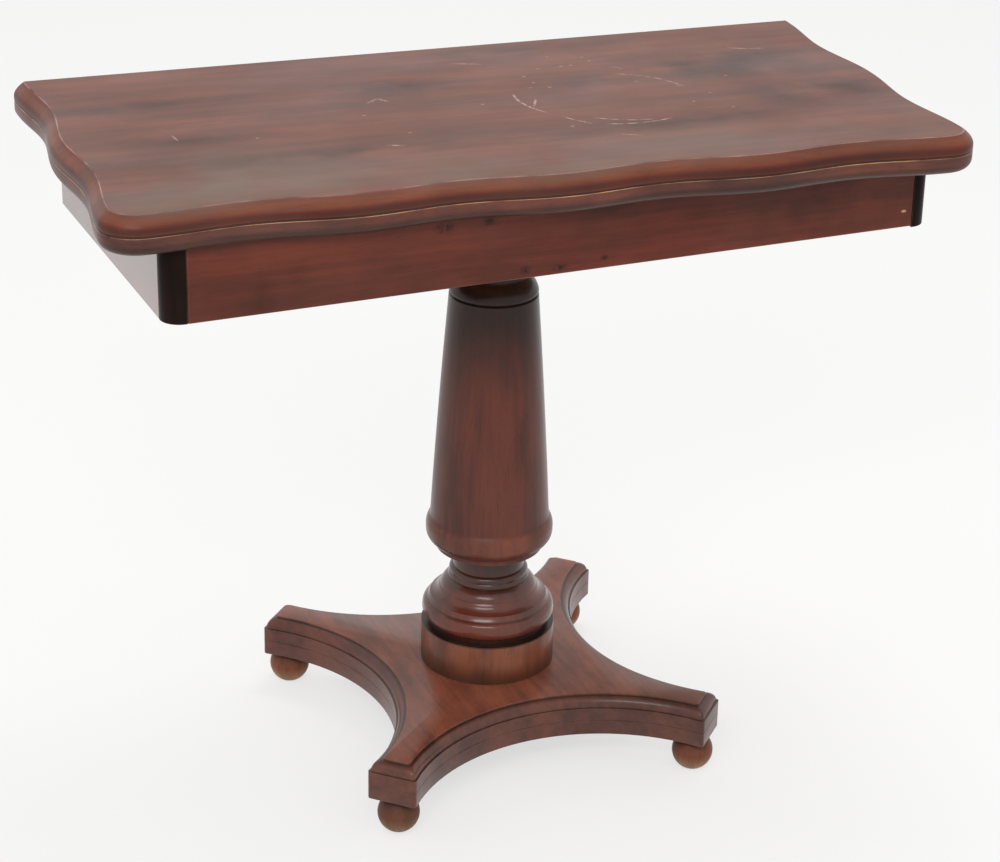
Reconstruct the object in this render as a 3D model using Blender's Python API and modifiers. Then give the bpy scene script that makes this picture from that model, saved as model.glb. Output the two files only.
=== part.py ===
"""A card table with a swivelling, folding top on a turned column, a four-armed platform and bun feet.

Lengths are in metres and angles in radians. +Z is up, +X is to the right of a person who faces the
front, and the front faces -Y. The origin is on the column's axis, at the floor. The top is shown
folded and turned a little about its pivot, as it is left when it hasn't been pushed quite square.
"""

import math

import bmesh
import bpy
from mathutils import Matrix, Vector

# Sizes and clearances of the whole table
TABLE_HEIGHT = 0.740
SEAT_GAP = 0.0003
CUT_OVERRUN = 0.002
MERGE_DISTANCE = 0.00002
ARRIS = 0.0008
SMOOTH_ANGLE = math.radians(40)

# The two leaves of the top: opened, they make a square of this width. Each front half and each end
# has as many whole waves as the count says
TOP_WIDTH = 0.922
LEAF_THICKNESS = 0.020
LEAF_CORNER_RADIUS = 0.037
WAVE_COUNT = 2
WAVE_DEPTH = 0.0092
WAVE_STEPS = 12
CORNER_STEPS = 7
REST_TURN = math.radians(3.6)

# Moulded edge of the upper leaf: a wide round-over, drawn as shares of its width and drop
ROUND_WIDTH = 0.012
ROUND_DROP = 0.0145
ROUND_SHARES = ((0.0, 1.0), (0.09, 0.73), (0.30, 0.44), (0.62, 0.18), (1.0, 0.0))

# Moulded edge of the lower leaf: a quarter round below a straight band
UNDER_ROUND_RADIUS = 0.0115
UNDER_ROUND_STEPS = 4

# Baize let into the faces that meet when the top is folded
BAIZE_BORDER = 0.055
BAIZE_FOLD_BORDER = 0.012
BAIZE_THICKNESS = 0.001
BAIZE_SETBACK = 0.0002

# Butt hinges on the back edges of the leaves
HINGE_LENGTH = 0.050
HINGE_PLATE_HEIGHT = 0.016
HINGE_PLATE_THICKNESS = 0.0016
HINGE_BARREL_RADIUS = 0.0028
HINGE_PIN_RADIUS = 0.0012
HINGE_KNUCKLES = 5
HINGE_SEGMENTS = 12
HINGE_PLACE_SHARES = {"left": -0.65, "middle": 0.0, "right": 0.65}

# Frieze that carries the top, and how far the closed top stands out past it
FRIEZE_HEIGHT = 0.0774
END_OVERHANG = 0.038
FRONT_OVERHANG = 0.035
BACK_OVERHANG = 0.048
RAIL_THICKNESS = 0.020
SIDE_THICKNESS = 0.018
CORNER_BLOCK_WIDTH = 0.022
CORNER_BLOCK_RADIUS = 0.020
CORNER_BLOCK_STEPS = 8
RIGHT_BLOCK_DROP = 0.0015

# Swivel of the top: a flanged bolt through a cross rail, and a peg that stops it both ways
PIVOT_RAIL_THICKNESS = 0.026
FLANGE_RADIUS = 0.030
FLANGE_THICKNESS = 0.004
STUD_RADIUS = 0.007
STUD_END = 0.003
WASHER_RADIUS = 0.017
WASHER_THICKNESS = 0.0025
NUT_RADIUS = 0.0125
NUT_HEIGHT = 0.009
NUT_SIDES = 6
PEG_RADIUS = 0.006
PEG_DROP = 0.014
PEG_SOCKET_DEPTH = 0.010
PEG_SWING = 0.200
ROD_SEGMENTS = 20

# Bearer over the column, and the card well beside it
BEARER_WIDTH = 0.120
BEARER_THICKNESS = 0.038
WELL_BOARD = 0.006
WELL_PARTITION = 0.012

# Turned column, from its head down to the drum on the platform
TURNING_SEGMENTS = 32
ARC_STEPS = 4
HEAD_HEIGHT = 0.0897
HEAD_TENON_RADIUS = 0.020
HEAD_TENON_LENGTH = 0.030
SHAFT_TOP_RADIUS = 0.0490
SHAFT_FOOT_RADIUS = 0.0662
SHAFT_SWELL = 0.0008
SHAFT_STEPS = 4
BEAD_RADIUS = 0.0714
BEAD_HEIGHT = 0.0482
JOINT_PEG_RADIUS = 0.015
JOINT_PEG_LENGTH = 0.036
BASE_TURNING_HEIGHT = 0.0947
DRUM_RADIUS = 0.0757
DRUM_HEIGHT = 0.0467
SPIGOT_RADIUS = 0.019
SPIGOT_SETBACK = 0.0015
WEDGE_DEPTH = 0.026
WEDGE_WIDTH = 0.034
WEDGE_THICKNESS = 0.0038
WEDGE_TIP_SHARE = 0.5

# Each row is a radius share, a height share from the bottom, and how far the stretch that ends there
# bulges outwards, as a share of its length
HEAD_SHARES = (
    (1.122, 1.0, 0.0),
    (1.122, 0.86, 0.0),
    (1.06, 0.83, 0.0),
    (0.735, 0.43, -0.12),
    (0.735, 0.34, 0.0),
    (0.775, 0.25, -0.05),
    (0.99, 0.078, 0.08),
    (0.996, 0.042, 0.06),
    (0.964, 0.018, 0.0),
)
BEAD_SHARES = (
    (0.936, 0.83, 0.0),
    (0.958, 0.75, -0.04),
    (1.0, 0.47, 0.08),
    (0.862, 0.118, 0.17),
    (0.845, 0.10, 0.0),
    (0.84, 0.0, 0.0),
)
BASE_SHARES = (
    (0.545, 1.0, 0.0),
    (0.532, 0.82, -0.06),
    (0.532, 0.744, 0.0),
    (0.581, 0.657, 0.22),
    (0.592, 0.645, 0.0),
    (0.602, 0.613, 0.0),
    (0.592, 0.597, 0.0),
    (0.608, 0.587, 0.0),
    (0.720, 0.474, 0.10),
    (0.732, 0.467, 0.0),
    (0.748, 0.436, 0.0),
    (0.872, 0.357, -0.10),
    (0.905, 0.300, 0.0),
    (0.925, 0.287, 0.0),
    (0.982, 0.215, 0.14),
    (0.935, 0.077, 0.14),
    (0.885, 0.070, 0.0),
    (0.872, 0.0, 0.0),
)

# Platform with four arms and hollow sides, and the feet under its arms. The hollows' radius is a
# share of the arms' reach
PLATFORM_THICKNESS = 0.0465
ARM_REACH = 0.272
ARM_END_WIDTH = 0.057
SIDE_ARC_SHARE = 0.7977941
SIDE_ARC_STEPS = 12
OVOLO_WIDTH = 0.0084
OVOLO_HEIGHT = 0.0108
OVOLO_STEPS = 3
OVOLO_STEP_IN = 0.0020
OVOLO_STEP_UP = 0.0004
FILLET_STEP_IN = 0.0010
FILLET_HEIGHT = 0.0022
FOOT_RADIUS = 0.0230
FOOT_HEIGHT = 0.0410
FOOT_FLAT_SHARE = 0.45
FOOT_END_SETBACK = 0.02027
FOOT_STEPS = 9
FOOT_SEGMENTS = 20
FOOT_SPIGOT_RADIUS = 0.007
FOOT_SPIGOT_LENGTH = 0.018

# Places that follow from the sizes
LEAF_HALF_WIDTH = TOP_WIDTH / 2
LEAF_DEPTH = TOP_WIDTH / 2
FRIEZE_WIDTH = TOP_WIDTH - 2 * END_OVERHANG
FRIEZE_DEPTH = LEAF_DEPTH - FRONT_OVERHANG - BACK_OVERHANG
WAVE_LENGTH = (LEAF_HALF_WIDTH - LEAF_CORNER_RADIUS) / WAVE_COUNT
POCKET_DEPTH = BAIZE_THICKNESS + SEAT_GAP + BAIZE_SETBACK
FRIEZE_TOP = TABLE_HEIGHT - 2 * (LEAF_THICKNESS + SEAT_GAP)
FRIEZE_BOTTOM = FRIEZE_TOP - FRIEZE_HEIGHT
TOP_UNDERSIDE = FRIEZE_TOP + SEAT_GAP
RAIL_INSIDE = FRIEZE_DEPTH / 2 - RAIL_THICKNESS
SIDE_INSIDE = FRIEZE_WIDTH / 2 - SIDE_THICKNESS
BACK_EDGE = FRIEZE_DEPTH / 2 + BACK_OVERHANG
PIVOT_OFFSET = BACK_EDGE / 2
FOLD_RISE = LEAF_THICKNESS + SEAT_GAP / 2
FOLD_BEHIND = SEAT_GAP / 2
PEG_REST = RAIL_INSIDE - PIVOT_OFFSET - PEG_RADIUS - SEAT_GAP
PIVOT_RAIL_HALF_WIDTH = PEG_REST - PEG_RADIUS - SEAT_GAP
SIDE_ARC_RADIUS = ARM_REACH * SIDE_ARC_SHARE
FOOT_PLACE = (ARM_REACH - FOOT_END_SETBACK) / math.sqrt(2)
PLATFORM_BOTTOM = FOOT_HEIGHT + SEAT_GAP
PLATFORM_TOP = PLATFORM_BOTTOM + PLATFORM_THICKNESS
DRUM_BOTTOM = PLATFORM_TOP + SEAT_GAP
DRUM_TOP = DRUM_BOTTOM + DRUM_HEIGHT
BASE_TURNING_BOTTOM = DRUM_TOP + SEAT_GAP
BASE_TURNING_TOP = BASE_TURNING_BOTTOM + BASE_TURNING_HEIGHT
SHAFT_BOTTOM = BASE_TURNING_TOP + SEAT_GAP
SHAFT_TOP = FRIEZE_BOTTOM - SEAT_GAP
SPIGOT_END = PLATFORM_BOTTOM + SPIGOT_SETBACK

# Colour, roughness and metallic value of each finish
FINISHES = {
    "top_wood": ((0.115, 0.042, 0.028), 0.34, 0.0),
    "frieze_wood": ((0.140, 0.040, 0.024), 0.32, 0.0),
    "column_wood": ((0.070, 0.028, 0.020), 0.30, 0.0),
    "platform_wood": ((0.130, 0.036, 0.024), 0.32, 0.0),
    "foot_wood": ((0.150, 0.065, 0.035), 0.42, 0.0),
    "inner_wood": ((0.360, 0.220, 0.115), 0.70, 0.0),
    "baize": ((0.030, 0.090, 0.040), 0.95, 0.0),
    "brass": ((0.520, 0.340, 0.120), 0.35, 1.0),
    "iron": ((0.090, 0.080, 0.075), 0.50, 1.0),
}


def new_collection(name):
    collection = bpy.data.collections.new(name)
    bpy.context.scene.collection.children.link(collection)
    return collection


def make_material(name, finish):
    color, roughness, metallic = FINISHES[finish]
    material = bpy.data.materials.new(name)
    material.use_nodes = True
    shader = material.node_tree.nodes["Principled BSDF"]
    shader.inputs["Base Color"].default_value = (*color, 1)
    shader.inputs["Roughness"].default_value = roughness
    shader.inputs["Metallic"].default_value = metallic
    return material


def add_piece(name, mesh, finish, location=(0, 0, 0), parent=None):
    """A named sub-part in the table's collection, with a material of its own."""
    piece = bpy.data.objects.new(name, mesh)
    piece.location = location
    piece.parent = parent
    mesh.materials.append(make_material(name + "_finish", finish))
    bpy.data.collections["card_table"].objects.link(piece)
    return piece


def add_axis(name, location, turn=0, parent=None):
    """An empty on a joint's axis, which carries the pieces that turn about it."""
    axis = bpy.data.objects.new(name, None)
    axis.location = location
    axis.rotation_euler = (0, 0, turn)
    axis.parent = parent
    bpy.data.collections["card_table"].objects.link(axis)
    return axis


def add_helper(name, mesh, location=(0, 0, 0), parent=None):
    """A shape that only cuts or joins another one."""
    helper = bpy.data.objects.new(name, mesh)
    helper.location = location
    helper.parent = parent
    helper.hide_render = True
    helper.display_type = "WIRE"
    bpy.data.collections["cutters"].objects.link(helper)
    return helper


def combine(piece, helper, operation="DIFFERENCE"):
    modifier = piece.modifiers.new(helper.name, "BOOLEAN")
    modifier.operation = operation
    modifier.object = helper


def finish_mesh(shape, name):
    bmesh.ops.recalc_face_normals(shape, faces=shape.faces)
    mesh = bpy.data.meshes.new(name)
    shape.to_mesh(mesh)
    shape.free()
    return mesh


def box_mesh(name, size, centres=((0, 0, 0),)):
    """One box, or a row of like ones, each about its centre."""
    shape = bmesh.new()
    for centre in centres:
        corners = bmesh.ops.create_cube(shape, size=1)["verts"]
        bmesh.ops.scale(shape, vec=size, verts=corners)
        bmesh.ops.translate(shape, vec=centre, verts=corners)
    return finish_mesh(shape, name)


def rod_mesh(name, radius, length, segments, centres=((0, 0, 0),), along_x=False):
    """One round rod, or a row of like ones, upright or lying along X."""
    shape = bmesh.new()
    lie = Matrix.Rotation(math.pi / 2, 4, "Y") if along_x else Matrix.Identity(4)
    for centre in centres:
        bmesh.ops.create_cone(
            shape,
            cap_ends=True,
            segments=segments,
            radius1=radius,
            radius2=radius,
            depth=length,
            matrix=Matrix.Translation(centre) @ lie,
        )
    mesh = finish_mesh(shape, name)
    mesh.shade_smooth()
    mesh.set_sharp_from_angle(angle=SMOOTH_ANGLE)
    return mesh


def add_box(name, low, high, finish, parent=None, arris=0):
    """A board or block between two corners, its edges eased by the arris if it has one."""
    low = Vector(low)
    high = Vector(high)
    piece = add_piece(name, box_mesh(name, high - low), finish, (low + high) / 2, parent)
    if arris:
        bevel = piece.modifiers.new("Arris", "BEVEL")
        bevel.width = arris
        bevel.segments = 1
    return piece


def bulged(start, end, bulge, steps):
    """Points after start up to end, on a curve that swells outwards by the bulge's share of its length."""
    outward = Vector((start.y - end.y, end.x - start.x)) * bulge
    points = []
    for step in range(1, steps + 1):
        t = step / steps
        points.append(start.lerp(end, t) + outward * 4 * t * (1 - t))
    return points


def turned_stretch(shares, radius, height, bottom):
    """The outer side of a turning, from the top down, from its table of shares."""
    points = []
    for radius_share, height_share, bulge in shares:
        point = Vector((radius * radius_share, bottom + height * height_share))
        if bulge:
            points += bulged(points[-1], point, bulge, ARC_STEPS)
        else:
            points.append(point)
    return points


def add_turning(name, profile, finish, segments, location=(0, 0, 0), parent=None, bored=False):
    """A turned piece: its profile runs down the outer side, and a bored one's closes up the bore."""
    mesh = bpy.data.meshes.new(name)
    edges = [(i, i + 1) for i in range(len(profile) - 1)]
    if bored:
        edges.append((len(profile) - 1, 0))
    mesh.from_pydata([(radius, 0, height) for radius, height in profile], edges, [])
    piece = add_piece(name, mesh, finish, location, parent)
    screw = piece.modifiers.new("Turning", "SCREW")
    screw.steps = segments
    screw.render_steps = segments
    screw.use_merge_vertices = True
    screw.merge_threshold = MERGE_DISTANCE
    screw.use_smooth_shade = True
    return piece


def moulded_slab(outline, straight, moulding_above, moulding_below):
    """A slab with straight sides from height 0, then steps inwards and onwards above and below them."""
    shape = bmesh.new()
    corners = [shape.verts.new(point) for point in outline]
    edges = [shape.edges.new(pair) for pair in zip(corners, corners[1:] + corners[:1])]
    floor = bmesh.ops.edgeloop_fill(shape, edges=edges)["faces"]
    raised = bmesh.ops.extrude_face_region(shape, geom=floor)["geom"]
    raised_corners = [item for item in raised if isinstance(item, bmesh.types.BMVert)]
    bmesh.ops.translate(shape, vec=(0, 0, straight), verts=raised_corners)
    bmesh.ops.recalc_face_normals(shape, faces=shape.faces)
    for moulding, end in ((moulding_above, max), (moulding_below, min)):
        face = end(shape.faces, key=lambda item: item.calc_center_median().z)
        for inwards, onwards in moulding:
            bmesh.ops.inset_region(
                shape, faces=[face], thickness=inwards, depth=onwards, use_even_offset=True
            )
    return shape


def steps_between(places):
    """The step from each (inset, height) place to the next."""
    return [(b[0] - a[0], b[1] - a[1]) for a, b in zip(places, places[1:])]


def quarter_round(radius, steps):
    """Steps of a quarter round that starts upright and ends flat."""
    angles = [math.pi / 2 * step / steps for step in range(steps + 1)]
    return steps_between([(radius * (1 - math.cos(a)), radius * math.sin(a)) for a in angles])


def wave_inset(distance):
    """How far the wavy edge lies in from its crests, at a distance along it from a crest."""
    return WAVE_DEPTH * (1 - math.cos(math.tau * distance / WAVE_LENGTH)) / 2


def leaf_outline():
    """The leaf's edge seen from above, with its back edge's middle at the origin, run past that edge."""
    last = WAVE_COUNT * WAVE_STEPS
    distances = [WAVE_LENGTH * step / WAVE_STEPS for step in range(last + 1)]
    right = [(x, wave_inset(x) - LEAF_DEPTH) for x in distances]
    for step in range(1, CORNER_STEPS):
        angle = math.pi / 2 * step / CORNER_STEPS
        across = LEAF_HALF_WIDTH - LEAF_CORNER_RADIUS * (1 - math.sin(angle))
        forward = LEAF_DEPTH - LEAF_CORNER_RADIUS * (1 - math.cos(angle))
        right.append((across, -forward))
    right += [(LEAF_HALF_WIDTH - wave_inset(y), -y) for y in reversed(distances)]
    right.append((LEAF_HALF_WIDTH, LEAF_CORNER_RADIUS))
    left = [(-x, y) for x, y in reversed(right[1:])]
    return [(x, y, 0) for x, y in left + right]


def leaf_mesh(name, straight, moulding_above, moulding_below):
    """A leaf with its moulded edge, sawn off square at the back edge."""
    shape = moulded_slab(leaf_outline(), straight, moulding_above, moulding_below)
    everything = shape.verts[:] + shape.edges[:] + shape.faces[:]
    bmesh.ops.bisect_plane(shape, geom=everything, plane_no=(0, 1, 0), clear_outer=True)
    sawn = [edge for edge in shape.edges if edge.is_boundary]
    bmesh.ops.edgeloop_fill(shape, edges=sawn)
    return finish_mesh(shape, name)


def leaf_middle(height):
    """The middle of the leaves' back edge, seen from the swivel's axis."""
    return Vector((PIVOT_OFFSET, BACK_EDGE - PIVOT_OFFSET, height))


def baize_size(extra=0):
    across = TOP_WIDTH - 2 * BAIZE_BORDER + extra
    along = LEAF_DEPTH - BAIZE_BORDER - BAIZE_FOLD_BORDER + extra
    return across, along


def baize_centre():
    """The baize's middle, forward of the leaf's back edge."""
    return -(BAIZE_FOLD_BORDER + baize_size()[1] / 2)


def cut_baize_pocket(leaf, parent, place, side):
    """A shallow pocket in the face that is above (side 1) or below (side -1) the leaf's wood."""
    across, along = baize_size(2 * SEAT_GAP)
    size = (across, along, POCKET_DEPTH + CUT_OVERRUN)
    middle = (CUT_OVERRUN - POCKET_DEPTH) / 2
    centre = place + Vector((0, baize_centre(), side * middle))
    name = leaf.name + "_baize_pocket"
    combine(leaf, add_helper(name, box_mesh(name, size), centre, parent))


def add_baize(name, parent, place, side):
    """The cloth lies on its pocket's floor, a little below the wood round it."""
    across, along = baize_size()
    depth = BAIZE_SETBACK + BAIZE_THICKNESS / 2
    centre = place + Vector((0, baize_centre(), -side * depth))
    mesh = box_mesh(name, (across, along, BAIZE_THICKNESS))
    return add_piece(name, mesh, "baize", centre, parent)


def hinge_places(start):
    """Where each hinge's middle lies on a line through start."""
    for side, share in HINGE_PLACE_SHARES.items():
        yield side, start + Vector((LEAF_HALF_WIDTH * share, 0, 0))


def cut_hinge_recesses(leaf, parent, fold, side):
    """Room for the barrels, and for the plates let into the back edge above or below the fold's axis."""
    places = [place for _, place in hinge_places(Vector((0, 0, 0)))]
    length = HINGE_LENGTH + 2 * SEAT_GAP
    groove = rod_mesh(
        leaf.name + "_barrel_groove",
        HINGE_BARREL_RADIUS + SEAT_GAP,
        length,
        HINGE_SEGMENTS,
        places,
        along_x=True,
    )
    combine(leaf, add_helper(groove.name, groove, fold, parent))
    depth = HINGE_PLATE_THICKNESS + SEAT_GAP + CUT_OVERRUN
    height = HINGE_PLATE_HEIGHT + SEAT_GAP
    recess = box_mesh(leaf.name + "_plate_recess", (length, depth, height), places)
    inwards = CUT_OVERRUN - FOLD_BEHIND - depth / 2
    centre = fold + Vector((0, inwards, side * height / 2))
    combine(leaf, add_helper(recess.name, recess, centre, parent))


def knuckle_centres(own):
    """The middles of the knuckles that belong to one plate: the outer ones, or those between them."""
    pitch = HINGE_LENGTH / HINGE_KNUCKLES
    middle = (HINGE_KNUCKLES - 1) / 2
    return [((number - middle) * pitch, 0, 0) for number in range(own, HINGE_KNUCKLES, 2)]


def add_hinge_plate(name, parent, place, side, own):
    """A plate with its knuckles, bored for the pin and cut back where the other plate's knuckles turn."""
    height = HINGE_PLATE_HEIGHT
    mesh = box_mesh(name, (HINGE_LENGTH, HINGE_PLATE_THICKNESS, height))
    middle = Vector((0, -FOLD_BEHIND - HINGE_PLATE_THICKNESS / 2, side * height / 2))
    mesh.transform(Matrix.Translation(middle))
    plate = add_piece(name, mesh, "brass", place, parent)
    pitch = HINGE_LENGTH / HINGE_KNUCKLES
    reach = 2 * (HINGE_BARREL_RADIUS + SEAT_GAP)
    relief = box_mesh(name + "_relief", (pitch + SEAT_GAP, reach, reach), knuckle_centres(1 - own))
    combine(plate, add_helper(relief.name, relief, place, parent))
    knuckles = rod_mesh(
        name + "_knuckles",
        HINGE_BARREL_RADIUS,
        pitch - SEAT_GAP,
        HINGE_SEGMENTS,
        knuckle_centres(own),
        along_x=True,
    )
    combine(plate, add_helper(knuckles.name, knuckles, place, parent), "UNION")
    length = HINGE_LENGTH + CUT_OVERRUN
    radius = HINGE_PIN_RADIUS + SEAT_GAP
    bore = rod_mesh(name + "_bore", radius, length, HINGE_SEGMENTS, along_x=True)
    combine(plate, add_helper(bore.name, bore, place, parent))
    return plate


def add_lower_leaf(swivel):
    """The leaf that swivels on the frieze, with all that is let into it."""
    place = leaf_middle(0)
    flat = UNDER_ROUND_RADIUS
    straight = LEAF_THICKNESS - flat - ARRIS
    below = quarter_round(flat, UNDER_ROUND_STEPS)
    mesh = leaf_mesh("lower_leaf", straight, [(ARRIS, ARRIS)], below)
    mesh.transform(Matrix.Translation((0, 0, flat)))
    leaf = add_piece("lower_leaf", mesh, "top_wood", place, swivel)
    fold = place + Vector((0, FOLD_BEHIND, FOLD_RISE))
    inner_face = place + Vector((0, 0, LEAF_THICKNESS))
    cut_baize_pocket(leaf, swivel, inner_face, 1)
    add_baize("lower_baize", swivel, inner_face, 1)
    cut_hinge_recesses(leaf, swivel, fold, -1)
    for side, middle in hinge_places(fold):
        add_hinge_plate(side + "_hinge_lower_plate", swivel, middle, -1, 0)
        pin = rod_mesh(side + "_hinge_pin", HINGE_PIN_RADIUS, HINGE_LENGTH, HINGE_SEGMENTS, along_x=True)
        add_piece(pin.name, pin, "brass", middle, swivel)
    cut_socket(leaf, "flange_socket", FLANGE_RADIUS, FLANGE_THICKNESS, (0, 0, 0), swivel)
    cut_socket(leaf, "peg_socket", PEG_RADIUS, PEG_SOCKET_DEPTH, peg_place(), swivel)
    return leaf


def cut_socket(piece, name, radius, depth, mouth, parent=None):
    """A round socket that opens downwards at the mouth, with clearance at its wall and its end."""
    length = depth + SEAT_GAP + CUT_OVERRUN
    mesh = rod_mesh(name, radius + SEAT_GAP, length, ROD_SEGMENTS)
    centre = Vector(mouth) + Vector((0, 0, length / 2 - CUT_OVERRUN))
    combine(piece, add_helper(name, mesh, centre, parent))


def peg_place():
    """The stop peg's place from the swivel's axis: squared up, it lies along the pivot rail's side."""
    return Vector((-PEG_REST, -math.sqrt(PEG_SWING**2 - PEG_REST**2), 0))


def add_upper_leaf(fold_axis):
    """The leaf that folds over: its moulded face is up at rest."""
    place = Vector((0, -FOLD_BEHIND, SEAT_GAP / 2))
    places = [(ROUND_WIDTH * across, -ROUND_DROP * drop) for across, drop in ROUND_SHARES]
    straight = LEAF_THICKNESS - ROUND_DROP - ARRIS
    mesh = leaf_mesh("upper_leaf", straight, steps_between(places), [(ARRIS, ARRIS)])
    mesh.transform(Matrix.Translation((0, 0, ARRIS)))
    leaf = add_piece("upper_leaf", mesh, "top_wood", place, fold_axis)
    cut_baize_pocket(leaf, fold_axis, place, -1)
    add_baize("upper_baize", fold_axis, place, -1)
    cut_hinge_recesses(leaf, fold_axis, Vector((0, 0, 0)), 1)
    for side, middle in hinge_places(Vector((0, 0, 0))):
        add_hinge_plate(side + "_hinge_upper_plate", fold_axis, middle, 1, 1)
    return leaf


def add_swivel_hardware(swivel):
    """The bolt let into the leaf, with the washer and nut that hold it under the pivot rail, and the peg."""
    washer_top = -(SEAT_GAP + PIVOT_RAIL_THICKNESS + SEAT_GAP)
    nut_top = washer_top - WASHER_THICKNESS - SEAT_GAP
    stud_bottom = nut_top - NUT_HEIGHT - STUD_END
    bolt = (
        (0, FLANGE_THICKNESS),
        (FLANGE_RADIUS, FLANGE_THICKNESS),
        (FLANGE_RADIUS, 0),
        (STUD_RADIUS, 0),
        (STUD_RADIUS, stud_bottom + ARRIS),
        (STUD_RADIUS - ARRIS, stud_bottom),
        (0, stud_bottom),
    )
    add_turning("pivot_bolt", bolt, "iron", ROD_SEGMENTS, parent=swivel)
    bore = STUD_RADIUS + SEAT_GAP
    washer = (
        (bore, washer_top),
        (WASHER_RADIUS, washer_top),
        (WASHER_RADIUS, washer_top - WASHER_THICKNESS),
        (bore, washer_top - WASHER_THICKNESS),
    )
    add_turning("pivot_washer", washer, "iron", ROD_SEGMENTS, parent=swivel, bored=True)
    nut_centre = (0, 0, nut_top - NUT_HEIGHT / 2)
    nut_mesh = rod_mesh("pivot_nut", NUT_RADIUS, NUT_HEIGHT, NUT_SIDES)
    nut = add_piece("pivot_nut", nut_mesh, "iron", nut_centre, swivel)
    nut_bore = rod_mesh("pivot_nut_bore", bore, NUT_HEIGHT + CUT_OVERRUN, ROD_SEGMENTS)
    combine(nut, add_helper(nut_bore.name, nut_bore, nut_centre, swivel))
    peg_bottom = -PEG_DROP
    peg = (
        (0, PEG_SOCKET_DEPTH),
        (PEG_RADIUS, PEG_SOCKET_DEPTH),
        (PEG_RADIUS, peg_bottom + ARRIS),
        (PEG_RADIUS - ARRIS, peg_bottom),
        (0, peg_bottom),
    )
    add_turning("stop_peg", peg, "inner_wood", ROD_SEGMENTS, peg_place(), swivel)


def add_corner_block(name, side, drop):
    """The rounded block that closes a front corner of the frieze, rebated flush inside the rails."""
    radius = CORNER_BLOCK_RADIUS
    outer_x = FRIEZE_WIDTH / 2
    outer_y = -FRIEZE_DEPTH / 2
    inner_x = outer_x - CORNER_BLOCK_WIDTH
    inner_y = outer_y + CORNER_BLOCK_WIDTH
    points = [(inner_x, -RAIL_INSIDE), (inner_x, outer_y)]
    for step in range(CORNER_BLOCK_STEPS + 1):
        angle = math.pi / 2 * step / CORNER_BLOCK_STEPS
        across = outer_x - radius * (1 - math.sin(angle))
        back = outer_y + radius * (1 - math.cos(angle))
        points.append((across, back))
    points += [(outer_x, inner_y), (SIDE_INSIDE, inner_y), (SIDE_INSIDE, -RAIL_INSIDE)]
    height = FRIEZE_HEIGHT + drop
    curve = bpy.data.curves.new(name, "CURVE")
    curve.dimensions = "2D"
    curve.fill_mode = "BOTH"
    curve.extrude = height / 2
    spline = curve.splines.new("POLY")
    spline.points.add(len(points) - 1)
    for control, (x, y) in zip(spline.points, points):
        control.co = (side * x, y, 0, 1)
    spline.use_cyclic_u = True
    return add_piece(name, curve, "frieze_wood", (0, 0, FRIEZE_TOP - height / 2))


def add_frieze():
    """Four rails round the box, with rounded blocks at the front corners."""
    half_width = FRIEZE_WIDTH / 2
    half_depth = FRIEZE_DEPTH / 2
    block = half_width - CORNER_BLOCK_WIDTH - SEAT_GAP
    block_back = CORNER_BLOCK_WIDTH + SEAT_GAP - half_depth
    between_sides = SIDE_INSIDE - SEAT_GAP
    front_low = (-block, -half_depth, FRIEZE_BOTTOM)
    front_high = (block, -RAIL_INSIDE, FRIEZE_TOP)
    add_box("front_rail", front_low, front_high, "frieze_wood", arris=ARRIS)
    back_low = (-between_sides, RAIL_INSIDE, FRIEZE_BOTTOM)
    back_high = (between_sides, half_depth, FRIEZE_TOP)
    add_box("back_rail", back_low, back_high, "frieze_wood", arris=ARRIS)
    for name, side in (("left_side_rail", -1), ("right_side_rail", 1)):
        faces = sorted((side * half_width, side * SIDE_INSIDE))
        low = (faces[0], block_back, FRIEZE_BOTTOM)
        high = (faces[1], half_depth, FRIEZE_TOP)
        add_box(name, low, high, "frieze_wood", arris=ARRIS)
    add_corner_block("front_left_corner_block", -1, 0)
    add_corner_block("front_right_corner_block", 1, RIGHT_BLOCK_DROP)


def add_cross_members():
    """What runs between the long rails: the pivot rail, the column's bearer and the card well."""
    reach = RAIL_INSIDE - SEAT_GAP
    left = -PIVOT_OFFSET - PIVOT_RAIL_HALF_WIDTH
    right = -PIVOT_OFFSET + PIVOT_RAIL_HALF_WIDTH
    underside = FRIEZE_TOP - PIVOT_RAIL_THICKNESS
    pivot_rail = add_box("pivot_rail", (left, -reach, underside), (right, reach, FRIEZE_TOP), "inner_wood")
    length = PIVOT_RAIL_THICKNESS + 2 * CUT_OVERRUN
    bore = rod_mesh("pivot_bore", STUD_RADIUS + SEAT_GAP, length, ROD_SEGMENTS)
    centre = (-PIVOT_OFFSET, PIVOT_OFFSET, FRIEZE_TOP - PIVOT_RAIL_THICKNESS / 2)
    combine(pivot_rail, add_helper(bore.name, bore, centre))
    half = BEARER_WIDTH / 2
    bearer_high = (half, reach, FRIEZE_BOTTOM + BEARER_THICKNESS)
    bearer = add_box("column_bearer", (-half, -reach, FRIEZE_BOTTOM), bearer_high, "inner_wood")
    socket_depth = HEAD_TENON_LENGTH - SEAT_GAP
    cut_socket(bearer, "tenon_socket", HEAD_TENON_RADIUS, socket_depth, (0, 0, FRIEZE_BOTTOM))
    partition_left = half + SEAT_GAP
    partition_right = partition_left + WELL_PARTITION
    partition_low = (partition_left, -reach, FRIEZE_BOTTOM)
    add_box("well_partition", partition_low, (partition_right, reach, FRIEZE_TOP), "inner_wood")
    floor_low = (partition_right + SEAT_GAP, -reach, FRIEZE_BOTTOM)
    floor_high = (SIDE_INSIDE - SEAT_GAP, reach, FRIEZE_BOTTOM + WELL_BOARD)
    add_box("well_floor", floor_low, floor_high, "inner_wood")


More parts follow.
